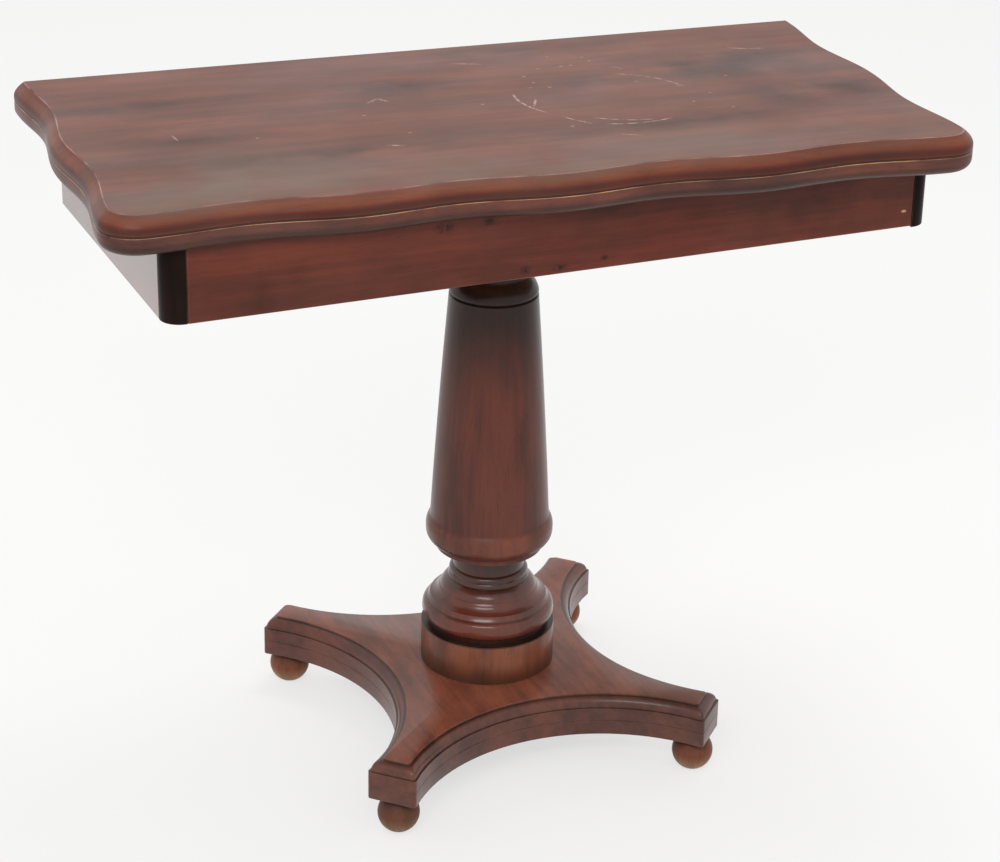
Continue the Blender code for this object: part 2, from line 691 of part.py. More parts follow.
def add_shaft():
    """The tapered shaft, from the tenon in the bearer down to the bead over the base turning."""
    head_bottom = SHAFT_TOP - HEAD_HEIGHT
    bead_top = SHAFT_BOTTOM + BEAD_HEIGHT
    tenon_top = SHAFT_TOP + HEAD_TENON_LENGTH
    profile = [(0, tenon_top), (HEAD_TENON_RADIUS, tenon_top), (HEAD_TENON_RADIUS, SHAFT_TOP)]
    profile += turned_stretch(HEAD_SHARES, SHAFT_TOP_RADIUS, HEAD_HEIGHT, head_bottom)
    for step in range(SHAFT_STEPS + 1):
        t = step / SHAFT_STEPS
        radius = SHAFT_TOP_RADIUS + (SHAFT_FOOT_RADIUS - SHAFT_TOP_RADIUS) * t
        swell = SHAFT_SWELL * 4 * t * (1 - t)
        profile.append((radius + swell, head_bottom + (bead_top - head_bottom) * t))
    profile += turned_stretch(BEAD_SHARES, BEAD_RADIUS, BEAD_HEIGHT, SHAFT_BOTTOM)
    bore = JOINT_PEG_RADIUS + SEAT_GAP
    bore_end = SHAFT_BOTTOM + JOINT_PEG_LENGTH
    profile += [(bore, SHAFT_BOTTOM), (bore, bore_end), (0, bore_end)]
    return add_turning("column_shaft", profile, "column_wood", TURNING_SEGMENTS)


def add_base_turning():
    """The ringed turning under the shaft, with a spigot that runs down through drum and platform."""
    peg_top = BASE_TURNING_TOP + JOINT_PEG_LENGTH
    profile = [(0, peg_top), (JOINT_PEG_RADIUS, peg_top), (JOINT_PEG_RADIUS, BASE_TURNING_TOP)]
    profile += turned_stretch(BASE_SHARES, DRUM_RADIUS, BASE_TURNING_HEIGHT, BASE_TURNING_BOTTOM)
    profile += [(SPIGOT_RADIUS, BASE_TURNING_BOTTOM), (SPIGOT_RADIUS, SPIGOT_END), (0, SPIGOT_END)]
    turning = add_turning("column_base_turning", profile, "column_wood", TURNING_SEGMENTS)
    kerf_width = WEDGE_THICKNESS + 2 * SEAT_GAP
    kerf_depth = WEDGE_DEPTH + SEAT_GAP
    size = (2 * SPIGOT_RADIUS + CUT_OVERRUN, kerf_width, kerf_depth + CUT_OVERRUN)
    centre = (0, 0, SPIGOT_END + (kerf_depth - CUT_OVERRUN) / 2)
    kerf = add_helper("wedge_kerf", box_mesh("wedge_kerf", size), centre)
    combine(turning, kerf)
    return turning


def add_wedge():
    """The thin wedge driven up into the spigot's kerf."""
    mesh = box_mesh("tenon_wedge", (WEDGE_WIDTH, WEDGE_THICKNESS, WEDGE_DEPTH))
    for corner in mesh.vertices:
        if corner.co.z > 0:
            corner.co.y *= WEDGE_TIP_SHARE
    return add_piece("tenon_wedge", mesh, "inner_wood", (0, 0, SPIGOT_END + WEDGE_DEPTH / 2))


def add_drum():
    """The plain round block between the turning and the platform, bored for the spigot."""
    bore = SPIGOT_RADIUS + SEAT_GAP
    profile = (
        (bore, DRUM_TOP),
        (DRUM_RADIUS - ARRIS, DRUM_TOP),
        (DRUM_RADIUS, DRUM_TOP - ARRIS),
        (DRUM_RADIUS, DRUM_BOTTOM),
        (bore, DRUM_BOTTOM),
    )
    return add_turning("plinth_drum", profile, "column_wood", TURNING_SEGMENTS, bored=True)


def platform_outline():
    """Four flat arm ends on the diagonals, joined by hollow arcs."""
    half_end = ARM_END_WIDTH / 2
    corner = Matrix.Rotation(math.pi / 4, 2) @ Vector((ARM_REACH, -half_end))
    sweep = math.asin(corner.y / SIDE_ARC_RADIUS)
    centre = corner.x + SIDE_ARC_RADIUS * math.cos(sweep)
    side = []
    for step in range(SIDE_ARC_STEPS + 1):
        angle = sweep * (2 * step / SIDE_ARC_STEPS - 1)
        across = centre - SIDE_ARC_RADIUS * math.cos(angle)
        side.append(Vector((across, SIDE_ARC_RADIUS * math.sin(angle))))
    points = []
    for quarter in range(4):
        points += [Matrix.Rotation(math.pi / 2 * quarter, 2) @ point for point in side]
    return [(point.x, point.y, 0) for point in points]


def add_platform():
    """The platform, moulded round its top edge, and bored for the column's spigot and the feet."""
    straight = PLATFORM_THICKNESS - OVOLO_HEIGHT - 2 * OVOLO_STEP_UP - FILLET_HEIGHT
    angles = [math.pi / 2 * step / OVOLO_STEPS for step in range(OVOLO_STEPS + 1)]
    ovolo = [(OVOLO_WIDTH * (1 - math.cos(a)), OVOLO_HEIGHT * math.sin(a)) for a in angles]
    above = [(OVOLO_STEP_IN, OVOLO_STEP_UP)] + steps_between(ovolo)
    above += [(FILLET_STEP_IN, OVOLO_STEP_UP), (0, FILLET_HEIGHT)]
    mesh = finish_mesh(moulded_slab(platform_outline(), straight, above, []), "platform_base")
    platform = add_piece("platform_base", mesh, "platform_wood", (0, 0, PLATFORM_BOTTOM))
    length = PLATFORM_THICKNESS + 2 * CUT_OVERRUN
    bore = rod_mesh("spigot_bore", SPIGOT_RADIUS + SEAT_GAP, length, ROD_SEGMENTS)
    centre = (0, 0, PLATFORM_BOTTOM + PLATFORM_THICKNESS / 2)
    combine(platform, add_helper(bore.name, bore, centre))
    for name, x, y in foot_places():
        mouth = (x, y, PLATFORM_BOTTOM)
        cut_socket(platform, name + "_socket", FOOT_SPIGOT_RADIUS, FOOT_SPIGOT_LENGTH, mouth)
    return platform


def foot_places():
    for depth, forward in (("front", -1), ("back", 1)):
        for side, across in (("left", -1), ("right", 1)):
            yield f"foot_{depth}_{side}", across * FOOT_PLACE, forward * FOOT_PLACE


def add_feet():
    """Bun feet: a ball cut flat above and below, with a spigot up into the platform."""
    flat = math.asin(FOOT_FLAT_SHARE)
    rise = FOOT_HEIGHT / 2 / math.cos(flat)
    spigot_top = FOOT_HEIGHT + FOOT_SPIGOT_LENGTH
    profile = [(0, spigot_top), (FOOT_SPIGOT_RADIUS, spigot_top), (FOOT_SPIGOT_RADIUS, FOOT_HEIGHT)]
    for step in range(FOOT_STEPS + 1):
        angle = flat + (math.pi - 2 * flat) * step / FOOT_STEPS
        profile.append((FOOT_RADIUS * math.sin(angle), FOOT_HEIGHT / 2 + rise * math.cos(angle)))
    profile.append((0, 0))
    for name, x, y in foot_places():
        add_turning(name, profile, "foot_wood", FOOT_SEGMENTS, (x, y, 0))


def main():
    for obj in list(bpy.data.objects):
        bpy.data.objects.remove(obj)
    new_collection("card_table")
    new_collection("cutters").hide_render = True
    add_feet()
    add_platform()
    add_drum()
    add_base_turning()
    add_wedge()
    add_shaft()
    add_frieze()
    add_cross_members()
    swivel = add_axis("swivel_axis", (-PIVOT_OFFSET, PIVOT_OFFSET, TOP_UNDERSIDE), -REST_TURN)
    fold_place = leaf_middle(FOLD_RISE) + Vector((0, FOLD_BEHIND, 0))
    fold_axis = add_axis("fold_axis", fold_place, parent=swivel)
    add_lower_leaf(swivel)
    add_swivel_hardware(swivel)
    add_upper_leaf(fold_axis)


main()
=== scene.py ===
"""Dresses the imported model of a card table: a wavy-edged folding top that swivels on a frieze, over
a turned column, a four-armed platform and bun feet.

The file is laid out as an add-on. Lengths are in metres unless millimetres are named.
"""

import math
from functools import partial

import bpy
from mathutils import Matrix, Vector


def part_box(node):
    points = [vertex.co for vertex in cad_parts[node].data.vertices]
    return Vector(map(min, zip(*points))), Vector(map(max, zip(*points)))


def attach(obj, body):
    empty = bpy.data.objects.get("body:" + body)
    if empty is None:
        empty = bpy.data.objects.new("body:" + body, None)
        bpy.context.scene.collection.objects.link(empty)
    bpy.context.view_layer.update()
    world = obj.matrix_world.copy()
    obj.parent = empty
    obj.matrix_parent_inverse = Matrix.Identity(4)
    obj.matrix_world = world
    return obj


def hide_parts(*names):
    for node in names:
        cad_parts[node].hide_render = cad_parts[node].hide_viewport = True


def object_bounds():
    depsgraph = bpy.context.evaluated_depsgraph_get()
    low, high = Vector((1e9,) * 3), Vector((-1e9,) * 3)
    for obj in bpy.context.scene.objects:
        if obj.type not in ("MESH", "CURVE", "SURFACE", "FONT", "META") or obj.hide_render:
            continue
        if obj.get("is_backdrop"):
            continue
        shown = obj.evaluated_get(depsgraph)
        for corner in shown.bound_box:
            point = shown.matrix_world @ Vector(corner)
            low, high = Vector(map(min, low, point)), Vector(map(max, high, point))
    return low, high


bl_info = {
    "name": "Card Table",
    "version": (1, 0, 0),
    "blender": (4, 5, 0),
    "location": "3D View > Sidebar > Card Table",
    "description": "Builds the finished pieces of a folding card table round its packed solids",
    "category": "Object",
}

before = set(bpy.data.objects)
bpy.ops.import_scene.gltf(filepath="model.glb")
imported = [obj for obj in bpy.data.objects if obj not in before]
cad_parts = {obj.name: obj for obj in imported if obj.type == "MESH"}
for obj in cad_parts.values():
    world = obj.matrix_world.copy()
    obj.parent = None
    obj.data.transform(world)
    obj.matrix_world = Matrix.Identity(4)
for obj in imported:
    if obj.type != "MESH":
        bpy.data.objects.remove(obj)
CAD_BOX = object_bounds()

MM = 0.001
MERGE_DISTANCE = 0.00002
# How far a cutter runs past a face, the play between pieces, and the rounding of sharp edges
CUT_OVERRUN = 0.002
SEAT_GAP = 0.0003
EASE, LEAF_EASE = 0.0006, 0.0008
WHITE = (1, 1, 1, 1)
QUARTER_TURN = math.pi / 2
UPRIGHT = (0, QUARTER_TURN, 0)
CROSSWISE = (0, 0, QUARTER_TURN)

# The swivel's axis, how far the closed top is left turned about it, and the middle of the leaves'
# back edge, measured from that axis when the top is square
PIVOT = Vector((-0.1185, 0.1185, 0))
REST_TURN = math.radians(-3.6)
TURNED = Matrix.Rotation(REST_TURN, 3, "Z")
BACK_MIDDLE = Vector((0.1185, 0.1185, 0))
# The heights of the top's underside and of its seam, and how far the fold lies behind the back edge
UNDERSIDE, SEAM, FOLD_BEHIND = 0.6997, 0.71985, 0.00015

# What is let into the leaves, with its play: hinges, the bolt's flange, the stop peg and the cloth
HINGE_LENGTH, BARREL_RADIUS = 0.0506, 0.0031
PLATE_DEPTH, PLATE_HEIGHT = 0.0019, 0.0163
FLANGE_RADIUS, FLANGE_DEPTH = 0.0303, 0.0043
PEG_RADIUS, PEG_DEPTH = 0.0063, 0.0103
PEG_FROM_PIVOT = Vector((-0.0442, -0.19505, 0))
CLOTH_SUNK = 0.0002
SCREW_SPACING, SCREW_FROM_FOLD, SCREW_SUNK = 0.017, 0.0098, 0.00005

# The frieze: its front in millimetres, its rails' thickness and its corner posts
FRIEZE_FRONT = -189
FRONT_THICKNESS, SIDE_THICKNESS = 0.020, 0.018
POST_WIDTH, POST_RADIUS = 0.022, 0.020

# What the turner marks on the column: a radius and a height in millimetres, and how far the stretch
# before it swells, or is hollow where that is negative, as a share of its length
SHAFT_HEAD = (
    (20, 621.7), (54.4, 621.7), (55, 621.1), (55, 609.6), (54.4, 608.9), (52, 606.5),
    (36, 570.6, -0.12), (36, 562.5), (38, 554.4, -0.05), (48.5, 539, 0.08),
    (48.8, 535.8, 0.06), (47.2, 533.6), (49, 532),
)
SHAFT_BEAD = (
    (66.2, 278.3), (66.8, 270.1), (68.4, 266.2, -0.04), (71.4, 252.8, 0.08), (61.5, 235.8, 0.17),
    (60.3, 234.9), (60, 230.1), (15.3, 230.1), (15.3, 266.1), (0, 266.1),
)
BASE_RINGS = (
    (15, 229.8), (41.3, 229.8), (40.3, 212.8, -0.06), (40.3, 205.6), (44, 197.3, 0.22),
    (44.8, 196.2), (45.6, 193.2), (44.8, 191.6), (46, 190.7), (54.5, 180, 0.1), (55.4, 179.3),
    (56.6, 176.4), (66, 168.9, -0.1), (68.5, 163.5), (70, 162.3), (74.3, 155.5, 0.14),
    (70.8, 142.4, 0.14), (67, 141.7), (66, 135.1), (19, 135.1), (19, 42.8), (0, 42.8),
)
DRUM = ((19.3, 134.8), (75.0, 134.8), (75.5, 134.6), (75.7, 134.1), (75.7, 88.1), (19.3, 88.1))
SPIGOT_SLOT, SLOT_MIDDLE = (0.040, 0.0044, 0.0283), (0, 0, 0.05495)

# The platform: a radius and a height of the spigot's hole, with its middle, and of the dowels' holes,
# and the round of the arms' corners and how far from an arm's end it begins
SPIGOT_HOLE = (0.0193, 0.060, (0, 0, 0.064))
DOWEL_HOLE = (0.0073, 0.0366)
CORNER_ROUND, CORNER_REACH = 0.0035, 0.0145

# Scratches and scuffs on the top, in millimetres from the middle of its back edge, from end to end
# and with a width and a strength. Most lie on a ring that something heavy has worn, whose arcs go
# from one angle to another and from one radius to another.
RING_MIDDLE = Vector((130, -213, 0))
RING_ARCS = (
    (166, 209, 94, 92, 2.0, 0.9), (224, 244, 94, 106, 1.7, 0.7), (245, 282, 86, 101, 1.6, 0.7),
    (253, 291, 106, 108, 1.9, 0.8), (55, 1, 78, 97, 1.5, 0.7),
)
SCRATCHES = (
    (56, -213, 46, -235, 2.0, 0.8), (180, -122, 188, -132, 1.4, 0.6),
    (335, -88, 357, -98, 1.6, 0.6), (357, -98, 375, -100, 1.6, 0.6),
    (96, -348, 117, -359, 2.0, 0.4), (43, -73, 14, -62, 1.8, 0.6),
    (-118, -175, -105, -165, 2.8, 0.6), (-105, -165, -96, -178, 2.0, 0.7),
    (-140, -319, -128, -323, 3.2, 0.5), (-342, -227, -340, -246, 1.8, 0.5),
)
SPECKS = (
    (124, -66), (161, -78), (164, -93), (126, -105), (138, -104), (98, -107), (73, -130),
    (75, -155), (65, -172), (86, -176), (185, -181), (223, -209), (60, -311), (288, -188),
    (245, -242), (216, -266), (249, -296), (-108, -285), (-136, -217), (-261, -259), (-4, -214),
)
# Clouds of grey bloom and of dark wax on the top: a middle, a reach each way and a strength
BLOOMS = (
    (-320, -390, 320, 150, 0.36), (-60, -440, 280, 90, 0.35),
    (150, -400, 240, 90, 0.25), (380, -400, 150, 90, 0.25),
)
SMUDGES = (
    (-80, -130, 110, 35, 0.35), (310, -150, 180, 90, 0.4), (130, -170, 90, 50, 0.3),
    (-330, -120, 160, 25, 0.3), (-330, -250, 130, 30, 0.3), (-200, -330, 220, 30, 0.3),
    (370, -270, 120, 70, 0.4), (180, -330, 200, 30, 0.25), (100, -30, 160, 20, 0.25),
)
# Marks on the front of the frieze, in millimetres: a place across and up, and a reach each way
FRIEZE_STAINS = (
    (-137, 687, 14, 8), (-89, 688, 10, 6), (-49, 631, 8, 6), (-11, 629, 11, 5), (39, 633, 6, 4),
    (215, 690, 60, 6),
)
FRIEZE_SHADES = ((310, 670, 190, 80), (-330, 640, 60, 50), (60, 690, 120, 20))
NAIL_HEAD = ((390, 640, 4, 2),)


def hex_to_linear(text):
    """A six-figure sRGB colour as linear red, green, blue and an alpha of 1."""
    parts = [int(text[place : place + 2], 16) / 255 for place in (0, 2, 4)]
    return (*(p / 12.92 if p <= 0.04045 else ((p + 0.055) / 1.055) ** 2.4 for p in parts), 1)


# Sizes and colours that a user may change


def amount(name, description, default, **kind):
    return bpy.props.FloatProperty(name=name, description=description, default=default, **kind)


def shade(name, description, figures):
    return bpy.props.FloatVectorProperty(
        name=name, description=description, default=hex_to_linear(figures), subtype="COLOR", size=4
    )


length = partial(amount, unit="LENGTH")
angle = partial(amount, subtype="ANGLE")


class TopSizes(bpy.types.PropertyGroup):
    """Sizes of the two leaves."""

    half_width: length("Half width", "Half of the opened square, and a leaf's depth", 0.461)
    thickness: length("Thickness", "Thickness of each leaf", 0.020)
    corner_radius: length("Corner radius", "Radius of the front corners, seen from above", 0.037)
    wave_depth: length("Wave depth", "How far the edge swings in between two crests", 0.0092)
    wave_count: bpy.props.IntProperty(
        name="Waves", description="Whole waves on each half front and each end", default=2
    )
    wave_steps: bpy.props.IntProperty(
        name="Steps in a wave", description="Points drawn along one wave", default=30
    )
    round_width: length("Round-over width", "Width of the upper leaf's moulding", 0.012)
    round_drop: length("Round-over drop", "Height of the upper leaf's moulding", 0.0145)
    under_radius: length("Lower quarter round", "Radius of the moulding below", 0.0115)
    baize_width: length("Baize width", "The cloth along the leaf", 0.812)
    baize_depth: length("Baize depth", "The cloth across the leaf", 0.394)
    baize_border: length("Border at the fold", "Wood between the cloth and the back edge", 0.012)
    baize_thickness: length("Baize thickness", "Thickness of the cloth", 0.001)


class BaseSizes(bpy.types.PropertyGroup):
    """Sizes of the platform and the feet."""

    arm_reach: length("Arm reach", "From the column's axis to the end of an arm", 0.272)
    arm_width: length("Arm width", "Width of an arm's end", 0.057)
    hollow_radius: length("Hollow radius", "Radius of the hollow between two arms", 0.217)
    platform_thickness: length("Platform thickness", "Thickness with its moulding", 0.0465)
    ovolo_width: length("Ovolo width", "Width of the moulding on top", 0.0084)
    ovolo_height: length("Ovolo height", "Height of the moulding on top", 0.0108)
    fillet_height: length("Fillet height", "Upright step over the moulding", 0.0022)
    foot_place: length("Foot place", "From the column's axis to a foot, along and across", 0.178)
    foot_radius: length("Foot radius", "Radius of a bun foot", 0.023)
    foot_height: length("Foot height", "Height of a bun foot", 0.041)


class Colors(bpy.types.PropertyGroup):
    """Colours of the woods, the cloth, the metals and the floor."""

    top: shade("Top", "Faded mahogany of the flat top", "6a392b")
    moulding: shade("Mouldings", "Mahogany of the leaves' edges", "66291b")
    frieze: shade("Frieze", "Mahogany of the rails", "642c1f")
    post: shade("Corner posts", "Stained wood of the rounded corners", "150a08")
    column: shade("Column", "Mahogany of the turned column", "58291f")
    edge: shade("Platform edges", "Mahogany of the platform's mouldings", "60372e")
    drum: shade("Drum", "Mahogany of the round block", "74402b")
    platform: shade("Platform", "Mahogany of the platform", "7e4634")
    feet: shade("Feet", "Mahogany of the bun feet", "76432f")
    worn: shade("Worn edges", "Bare wood where the polish is rubbed off", "c0946f")
    scuff: shade("Scuffs", "Scratches in the polish of the top", "b79589")
    # Besides old wax, this colour is painted as shade: in the leaves' seam and on their moulding, on
    # the frieze under the top, on the column's head, in the groove over the drum, in the platform's
    # steps and on the feet's tops.
    wax: shade("Old wax", "Dark wax and dust left in the grooves", "120907")
    haze: shade("Haze", "Bloom on the old polish", "6f5e50")
    beech: shade("Inner wood", "Planed beech inside the frieze", "a5835c")
    baize: shade("Baize", "Wool cloth on the inner faces", "2f5538")
    brass: shade("Brass", "Hinges and their screws", "a8854c")
    iron: shade("Iron", "Bolt, washer and nut of the pivot", "55504c")
    floor: shade("Floor", "Pale paper under and behind the table", "f6f5f4")


class StageSizes(bpy.types.PropertyGroup):
    """The camera and the light of the photograph."""

    lens: amount("Lens", "Focal length on a 36 mm sensor, in millimetres", 96.4)
    camera_place: bpy.props.FloatVectorProperty(
        name="Camera place", description="Where the camera stands", subtype="XYZ", unit="LENGTH",
        default=(-1.08685, -2.48049, 1.58014),
    )
    camera_turn: angle("Camera turn", "How far the camera turns to the right", math.radians(23.87))
    camera_tilt: angle("Camera tilt", "How far the camera looks down", math.radians(24.12))
    camera_roll: angle("Camera roll", "How far the camera leans", math.radians(1.24))
    sky_level: amount("Sky level", "Strength of the white surroundings", 0.72)
    paper_glow: amount("Paper glow", "How far the seen paper is drawn towards white", 0.65)
    key_power: amount("Main light", "Power of the large lamp at the left", 44, unit="POWER")
    top_power: amount("Top light", "Power of the lamp overhead", 20, unit="POWER")


# Modelling steps


def deselect_all():
    if bpy.context.object and bpy.context.object.mode != "OBJECT":
        bpy.ops.object.mode_set(mode="OBJECT")
    bpy.ops.object.select_all(action="DESELECT")


def work_on(piece):
    deselect_all()
    piece.select_set(True)
    bpy.context.view_layer.objects.active = piece


def open_mesh(piece):
    """Goes into edit mode on the piece, if it isn't in it, and selects all of its mesh."""
    if piece.mode != "EDIT":
        work_on(piece)
        bpy.ops.object.mode_set(mode="EDIT")
    bpy.ops.mesh.select_all(action="SELECT")


def trace(name, points):
    """Draws a small plane together to one corner, and draws that out from point to point."""
    points = [Vector(point) for point in points]
    deselect_all()
    bpy.ops.mesh.primitive_plane_add(size=MM, location=points[0])
    piece = bpy.context.object
    piece.name = piece.data.name = name
    bpy.ops.object.transform_apply()
    open_mesh(piece)
    bpy.ops.mesh.select_mode(type="VERT")
    bpy.ops.mesh.merge(type="CENTER")
    for here, there in zip(points, points[1:]):
        bpy.ops.mesh.extrude_vertices_move(TRANSFORM_OT_translate={"value": there - here})
    return piece


def pick(piece, kind, wanted):
    """In edit mode, leaves selected only the vertices, edges or faces that the test wants."""
    bpy.ops.mesh.select_mode(type=kind)
    bpy.ops.mesh.select_all(action="DESELECT")
    bpy.ops.object.mode_set(mode="OBJECT")
    mesh = piece.data
    items = {"VERT": mesh.vertices, "EDGE": mesh.edges, "FACE": mesh.polygons}[kind]
    found = [item for item in items if wanted(item)]
    if not found:
        raise RuntimeError(f"nothing was found to select on {piece.name}")
    for item in found:
        item.select = True
    bpy.ops.object.mode_set(mode="EDIT")


def tidy_mesh(piece, smooth=30):
    """Merges doubles, turns faces outwards and shades smooth up to that angle, in object mode."""
    open_mesh(piece)
    bpy.ops.mesh.remove_doubles(threshold=MERGE_DISTANCE)
    bpy.ops.mesh.normals_make_consistent(inside=False)
    bpy.ops.object.mode_set(mode="OBJECT")
    bpy.ops.object.shade_smooth_by_angle(angle=math.radians(smooth))


def join_flats(piece):
    """Joins the faces that lie in one plane, so that they are shaded as one."""
    open_mesh(piece)
    bpy.ops.mesh.dissolve_limited(angle_limit=math.radians(0.5))
    bpy.ops.object.mode_set(mode="OBJECT")


def put_in_place(piece, location, turn=0):
    """Moves and turns a piece, and writes its place into its mesh."""
    work_on(piece)
    piece.location = location
    piece.rotation_euler = (0, 0, turn)
    bpy.ops.object.transform_apply()


def like(piece, name, shift=(0, 0, 0)):
    """A copy of the piece with a mesh of its own, moved by the shift."""
    work_on(piece)
    bpy.ops.object.duplicate(linked=False)
    twin = bpy.context.object
    twin.name = twin.data.name = name
    put_in_place(twin, shift)
    return twin


def cut(piece, cutter):
    """Cuts the cutter's shape out of the piece, and throws the cutter away."""
    work_on(piece)
    modifier = piece.modifiers.new("Cut", "BOOLEAN")
    modifier.operation = "DIFFERENCE"
    modifier.solver = "EXACT"
    modifier.object = cutter
    bpy.ops.object.modifier_apply(modifier=modifier.name)
    bpy.data.objects.remove(cutter)


def block_cutter(size, centre):
    deselect_all()
    bpy.ops.mesh.primitive_cube_add(size=1, location=centre)
    bpy.context.object.scale = size
    bpy.ops.object.transform_apply()
    return bpy.context.object


def round_cutter(radius, height, centre, sides=48, turn=(0, 0, 0)):
    deselect_all()
    bpy.ops.mesh.primitive_cylinder_add(
        vertices=sides, radius=radius, depth=height, location=centre, rotation=turn
    )
    bpy.ops.object.transform_apply()
    return bpy.context.object


def turn_on_lathe(name, profile_mm, centre=(0, 0), steps=96):
    """Spins a profile of radius and height in millimetres round an upright axis."""
    x, y = centre
    piece = trace(name, [(x + radius * MM, y, height * MM) for radius, height in profile_mm])
    open_mesh(piece)
    bpy.ops.mesh.spin(steps=steps, angle=math.tau, center=(x, y, 0), axis=(0, 0, 1))
    tidy_mesh(piece)
    return piece


def curved(rows):
    """Fills in what the turner marks, with nine points on each stretch that swells or is hollow."""
    points = [rows[0]]
    for (r0, z0, *_), (r1, z1, *swell) in zip(rows, rows[1:]):
        steps = 9 if swell else 1
        for step in range(1, steps + 1):
            t = step / steps
            out = 4 * t * (1 - t) * sum(swell)
            r, z = r0 + (r1 - r0) * t, z0 + (z1 - z0) * t
            points.append((r + (z0 - z1) * out, z + (r1 - r0) * out))
    return points


def raise_slab(piece, straight, above, below=()):
    """Closes a traced outline, raises it, and draws its mouldings as insets above and below."""
    open_mesh(piece)
    bpy.ops.mesh.edge_face_add()
    for height in straight:
        bpy.ops.mesh.extrude_region_move(TRANSFORM_OT_translate={"value": (0, 0, height)})
    open_mesh(piece)
    bpy.ops.mesh.normals_make_consistent(inside=False)
    for moulding, end in ((above, 1), (below, -1)):
        if moulding:
            pick(piece, "FACE", lambda face: end * face.normal.z > 0.99)
        for inwards, onwards in moulding:
            bpy.ops.mesh.inset(thickness=inwards, depth=onwards, use_even_offset=True)


def steps_between(places):
    return [(b[0] - a[0], b[1] - a[1]) for a, b in zip(places, places[1:])]


def thumb_round(width, height, steps):
    """Steps of a round that starts upright and ends sloping, so that it meets the flat in an arris.
    Two pulls lead the curve between its ends."""
    pulls = ((0, 0), (0, 0.41 * height), (0.567 * width, 0.793 * height), (width, height))
    points = []
    for step in range(steps + 1):
        t = step / steps
        shares = ((1 - t) ** 3, 3 * t * (1 - t) ** 2, 3 * t * t * (1 - t), t**3)
        points.append([sum(s * pull[axis] for s, pull in zip(shares, pulls)) for axis in (0, 1)])
    return steps_between(points)


def quarter_round(width, height, steps=2):
    """Steps of a quarter round that starts upright and ends flat."""
    turns = [QUARTER_TURN * step / steps for step in range(steps + 1)]
    places = [(width * (1 - math.cos(turn)), height * math.sin(turn)) for turn in turns]
    return steps_between(places)


def wavy_outline(sizes):
    """A leaf's edge from above, run past the back edge, whose middle is the origin."""
    half, radius = sizes.half_width, sizes.corner_radius
    wave = (half - radius) / sizes.wave_count
    last = sizes.wave_count * sizes.wave_steps
    distances = [wave * step / sizes.wave_steps for step in range(last + 1)]

    def swing(distance):
        return sizes.wave_depth * (1 - math.cos(math.tau * distance / wave)) / 2

    right = [(x, swing(x) - half) for x in distances]
    corner_steps = sizes.wave_steps // 2
    for step in range(1, corner_steps):
        turn = QUARTER_TURN * step / corner_steps
        right.append((half - radius * (1 - math.sin(turn)), radius * (1 - math.cos(turn)) - half))
    right += [(half - swing(y), -y) for y in reversed(distances)]
    right.append((half, radius))
    return [(-x, y, 0) for x, y in reversed(right[1:])] + [(x, y, 0) for x, y in right]


def model_leaf(name, sizes, above, below, looks):
    """A leaf with its mouldings, its underside at height 0, sawn off square at the back edge and let
    in for the cloth and the hinges where its inner face looks up (1) or down (-1)."""
    piece = trace(name, wavy_outline(sizes))
    lift = sum(rise for _, rise in below)
    raise_slab(piece, [sizes.thickness - lift - sum(rise for _, rise in above)], above, below)
    open_mesh(piece)
    bpy.ops.mesh.bisect(
        plane_co=(0, 0, 0), plane_no=(0, 1, 0), use_fill=True, clear_outer=True,
        threshold=MERGE_DISTANCE,
    )
    open_mesh(piece)
    bpy.ops.transform.translate(value=(0, 0, lift))
    tidy_mesh(piece)
    let_in(piece, sizes, sizes.thickness if looks > 0 else 0, looks)
    return piece


def let_in(piece, sizes, face, side):
    """Cuts a pocket for the cloth in the face at that height, which looks up (1) or down (-1), and
    grooves for the hinges' barrels and recesses for their plates in the back edge."""
    depth = sizes.baize_thickness + SEAT_GAP + CLOTH_SUNK
    size = (sizes.baize_width + 2 * SEAT_GAP, sizes.baize_depth + 2 * SEAT_GAP, depth + CUT_OVERRUN)
    middle = -(sizes.baize_border + sizes.baize_depth / 2)
    cut(piece, block_cutter(size, (0, middle, face + side * (CUT_OVERRUN - depth) / 2)))
    fold = face + side * SEAT_GAP / 2
    size = (HINGE_LENGTH, PLATE_DEPTH + CUT_OVERRUN, PLATE_HEIGHT)
    for _, x in hinge_places():
        cut(piece, round_cutter(BARREL_RADIUS, HINGE_LENGTH, (x, FOLD_BEHIND, fold), 24, UPRIGHT))
        centre = (x, (CUT_OVERRUN - PLATE_DEPTH) / 2, fold - side * PLATE_HEIGHT / 2)
        cut(piece, block_cutter(size, centre))


def hinge_places():
    half = bpy.context.scene.card_table_top.half_width
    return (("left", -0.65 * half), ("middle", 0), ("right", 0.65 * half))


def foot_places(sizes):
    for depth, forward in (("front", -1), ("back", 1)):
        for side, across in (("left", -1), ("right", 1)):
            place = Vector((across * sizes.foot_place, forward * sizes.foot_place, 0))
            yield f"foot_{depth}_{side}", place


def leaf_origin(height):
    """Where the middle of the leaves' back edge lies in the room, at that height."""
    return PIVOT + TURNED @ BACK_MIDDLE + Vector((0, 0, height))


def place_on_top(place_mm):
    """A place on the top in the room, from its millimetres from the middle of the back edge."""
    face = SEAM + SEAT_GAP / 2 + bpy.context.scene.card_table_top.thickness
    return leaf_origin(face) + TURNED @ (place_mm * MM)


# Finishes


